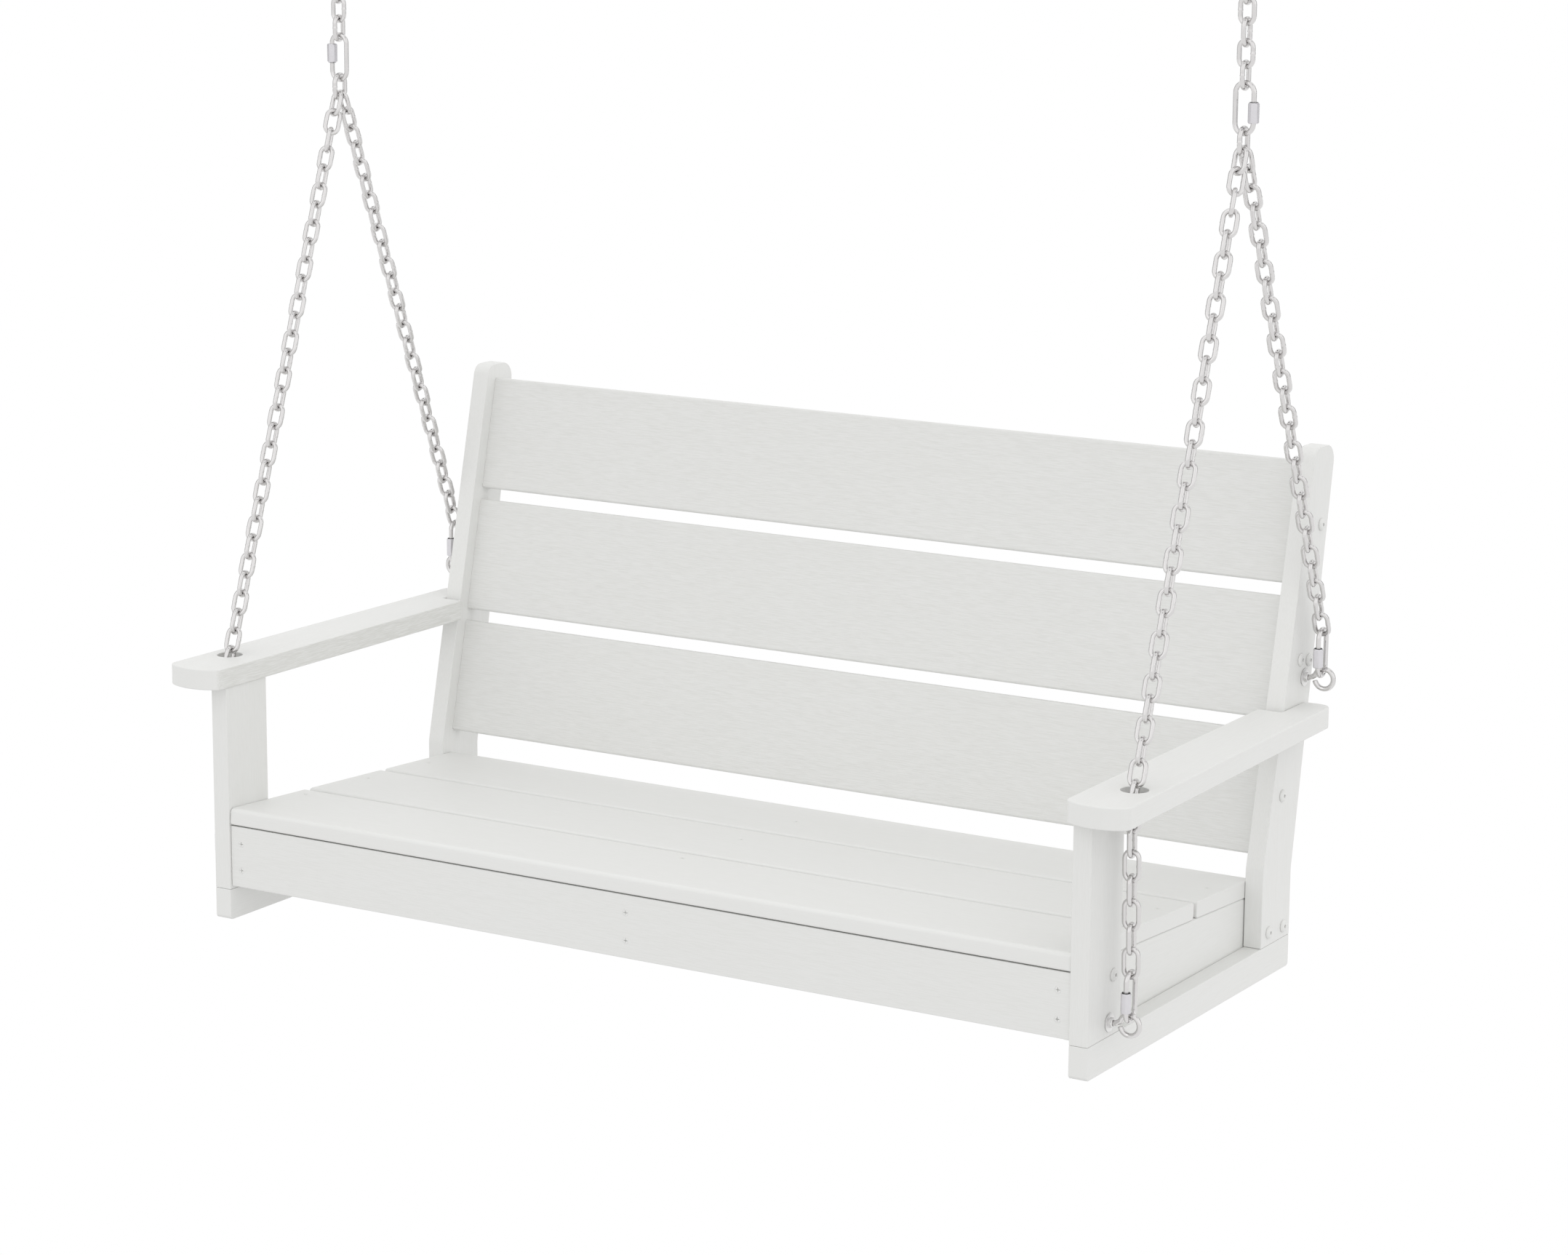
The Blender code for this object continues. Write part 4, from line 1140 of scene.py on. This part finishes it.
def leg_start(sign, direction):
    reach = JUNCTION_RADIUS - (JUNCTION_WIRE + CHAIN_WIRE) / 2 - FREE_GAP
    drop = math.sqrt(reach * reach - LEG_SPREAD * LEG_SPREAD)
    return Vector((sign * JUNCTION[0], JUNCTION[1] + direction * LEG_SPREAD, JUNCTION[2] - drop))


def leg_chains(side, sign):
    inset = (CHAIN_WIRE - LINK_BITE) / 2
    contact = (QUICK_WIRE + CHAIN_WIRE) / 2 + FREE_GAP
    bend = Vector((sign * BEND[0], BEND[1], BEND[2]))
    start = leg_start(sign, -1.0)
    start += (bend - start).normalized() * inset
    rolls = FRONT_TOP_ROLLS + alternating(FRONT_LINKS - len(FRONT_TOP_ROLLS), 0.0)
    links = chain_run(start, bend, rolls)
    rise = Vector((0.0, 0.0, QUICK_HEIGHT / 2 - contact + inset))
    stop = quick_centre(sign, "front") + rise
    links += chain_run(bend, stop, alternating(FRONT_LOWER_LINKS, 0.0))
    steel_piece(f"front_chain_{side}", joined(f"front_chain_{side}", links))

    start, stop = leg_start(sign, 1.0), quick_centre(sign, "rear") + rise
    start += (stop - start).normalized() * inset
    rolls = REAR_TOP_ROLLS + alternating(REAR_LINKS - len(REAR_TOP_ROLLS), 0.0)
    links = chain_run(start, stop, rolls)
    steel_piece(f"rear_chain_{side}", joined(f"rear_chain_{side}", links))


def seat_hardware(side, sign):
    inner_faces = {"front": POST_IN_X - BOARD - 2 * GAP, "rear": POST_IN_X - GAP}
    for place, eye in EYES.items():
        inner_x = inner_faces[place]
        eye_bolt(f"eye_bolt_{side}_{place}", sign, eye, inner_x - NUT_HEIGHT - 0.003)
        nut(f"eye_flange_nut_{side}_{place}", sign, POST_OUT_X + GAP, eye, True)
        nut(f"eye_lock_nut_{side}_{place}", sign, inner_x - NUT_HEIGHT, eye, False)
        quick_link(
            f"quick_link_{side}_{place}", f"quick_link_sleeve_{side}_{place}",
            quick_centre(sign, place), Matrix.Rotation(QUARTER, 3, "Z"),
        )


# ------------------------ floor, light and camera
def emission_material(name, strength):
    material, _, _, shader = new_material(name)
    shader.inputs["Base Color"].default_value = (0.0, 0.0, 0.0, 1.0)
    shader.inputs["Specular IOR Level"].default_value = 0.0
    shader.inputs["Roughness"].default_value = 1.0
    shader.inputs["Emission Color"].default_value = (1.0, 1.0, 1.0, 1.0)
    shader.inputs["Emission Strength"].default_value = strength
    return material


def studio():
    pale = emission_material("pale_floor", 1.0)
    for name, maker in (("floor", floor_mesh), ("backdrop", backdrop_mesh)):
        mesh = maker(name)
        mesh.materials.append(pale)
        stage_object = in_scene(name, mesh)
        stage_object.visible_diffuse = False
        stage_object.visible_shadow = False
        stage_object.visible_glossy = name == "floor"
    for name, (turn, half, low, high, level) in FLAGS.items():
        mesh = flag_mesh(name, turn, half, low, high)
        mesh.materials.append(emission_material(name, level))
        card = in_scene(name, mesh)
        card.visible_camera = False
        card.visible_diffuse = False
        card.visible_shadow = False
    world = bpy.data.worlds.new("studio")
    bpy.context.scene.world = world
    world.use_nodes = True
    nodes, links = world.node_tree.nodes, world.node_tree.links
    place = nodes.new("ShaderNodeTexCoord").outputs["Generated"]
    split = nodes.new("ShaderNodeSeparateXYZ")
    links.new(place, split.inputs["Vector"])
    level = spread(nodes, links, split.outputs["Z"], -0.25, 0.15, LOW_LIGHT, SKY_LIGHT)
    lobe = nodes.new("ShaderNodeVectorMath")
    lobe.operation = "DOT_PRODUCT"
    lobe.inputs[1].default_value = Vector(LOBE_FROM).normalized()
    links.new(place, lobe.inputs[0])
    positive = spread(nodes, links, lobe.outputs["Value"], 0.0, 1.0, 0.0, LOBE_LIGHT)
    total = calculated(nodes, links, "ADD", level, positive)
    background = nodes["Background"]
    background.inputs["Color"].default_value = (1.0, 1.0, 1.0, 1.0)
    links.new(total, background.inputs["Strength"])
    bpy.context.scene.view_settings.view_transform = "Standard"


LOW_LIGHT = 0.66
SKY_LIGHT = 1.04
LOBE_LIGHT = 0.10
LOBE_FROM = (0.70, -0.70, -0.12)
FLOOR_Z = -0.32
FLOOR_REACH = 45.0
BACKDROP_RADIUS = 60.0
CAMERA_PLACE = (2.6278, -4.28914, 1.4757)
CAMERA_TURN = (-31.118, -12.123, 0.394)   # yaw, pitch and roll in degrees
CAMERA_LENS = 95.5
FLAG_DISTANCE = 11.0
NARROW_FLAG = 10.0           # narrower cards stand a little in front of the others
FRONT_TURN = 31.0            # the photo's own direction
# Cards that only the steel reflects: azimuth from the front (-Y) towards +X and half width
# in degrees, foot and head in metres, brightness.
FLAGS = {
    "flag_right": (FRONT_TURN + 122.0, 22.0, -5.0, 8.0, 0.70),
    "flag_left": (FRONT_TURN - 122.0, 22.0, -5.0, 8.0, 0.70),
    "flag_right_dark": (FRONT_TURN + 103.0, 4.0, -5.0, 8.0, 0.02),
    "flag_left_dark": (FRONT_TURN - 140.0, 5.0, -5.0, 8.0, 0.02),
    "flag_high_dark": (FRONT_TURN + 175.0, 30.0, 15.0, 36.0, 0.0),
    "flag_high_front": (FRONT_TURN + 50.0, 12.0, 13.0, 24.0, 0.0),
    "light_left": (FRONT_TURN - 48.0, 9.0, 1.0, 12.0, 1.4),
    "light_right": (FRONT_TURN + 62.0, 4.0, 1.0, 12.0, 1.5),
}


def flag_mesh(name, turn, half, low, high):
    """A bent upright card round the object."""
    mesh = bpy.data.meshes.new(name)
    corners = []
    reach = FLAG_DISTANCE - (0.5 if half < NARROW_FLAG else 0.0)
    for step in range(9):
        angle = math.radians(turn - half + 2 * half * step / 8)
        x, y = reach * math.sin(angle), -reach * math.cos(angle)
        corners += [(x, y, low), (x, y, high)]
    faces = [(2 * i, 2 * i + 2, 2 * i + 3, 2 * i + 1) for i in range(8)]
    mesh.from_pydata(corners, [], faces)
    return mesh


def floor_mesh(name):
    mesh = bpy.data.meshes.new(name)
    square = ((-1, -1), (1, -1), (1, 1), (-1, 1))
    corners = [(x * FLOOR_REACH, y * FLOOR_REACH, FLOOR_Z) for x, y in square]
    mesh.from_pydata(corners, [], [(0, 1, 2, 3)])
    return mesh


def backdrop_mesh(name):
    mesh = bpy.data.meshes.new(name)
    shape = bmesh.new()
    bmesh.ops.create_uvsphere(shape, u_segments=48, v_segments=24, radius=BACKDROP_RADIUS)
    shape.to_mesh(mesh)
    shape.free()
    return mesh


def camera():
    yaw, pitch, roll = (math.radians(a) for a in CAMERA_TURN)
    forward = Vector(
        (math.sin(yaw) * math.cos(pitch), math.cos(yaw) * math.cos(pitch), math.sin(pitch))
    )
    level = forward.cross(Vector((0.0, 0.0, 1.0))).normalized()
    lift = level.cross(forward)
    right = level * math.cos(roll) + lift * math.sin(roll)
    up = lift * math.cos(roll) - level * math.sin(roll)
    data = bpy.data.cameras.new("camera")
    data.lens = CAMERA_LENS
    data.sensor_width = 36.0
    data.clip_start = 0.1
    data.clip_end = 200.0
    item = in_scene("camera", data)
    axes = Matrix((right, up, -forward)).transposed()
    item.matrix_world = Matrix.Translation(CAMERA_PLACE) @ axes.to_4x4()
    bpy.context.scene.camera = item


# ------------------------ build
camera()
studio()
seat_frame()
seat_slats()
back_slats()
post_caps()
for side, sign in SIDES.items():
    side_frame(side, sign)
    armrest(side, sign)
    hanger(side, sign)
    x, y = sign * JUNCTION[0], JUNCTION[1]
    single_link(
        f"top_link_{side}", Z["top_link_bottom"], Z["top_link_top"], CHAIN_WIDTH, CHAIN_WIRE, x, y
    )
    upper_run(side, sign)
    single_link(
        f"junction_link_{side}", Z["junction_bottom"], Z["junction_top"],
        2 * JUNCTION_RADIUS + JUNCTION_WIRE, JUNCTION_WIRE, x, y,
    )
    leg_chains(side, sign)
    seat_hardware(side, sign)

bpy.context.view_layer.update()
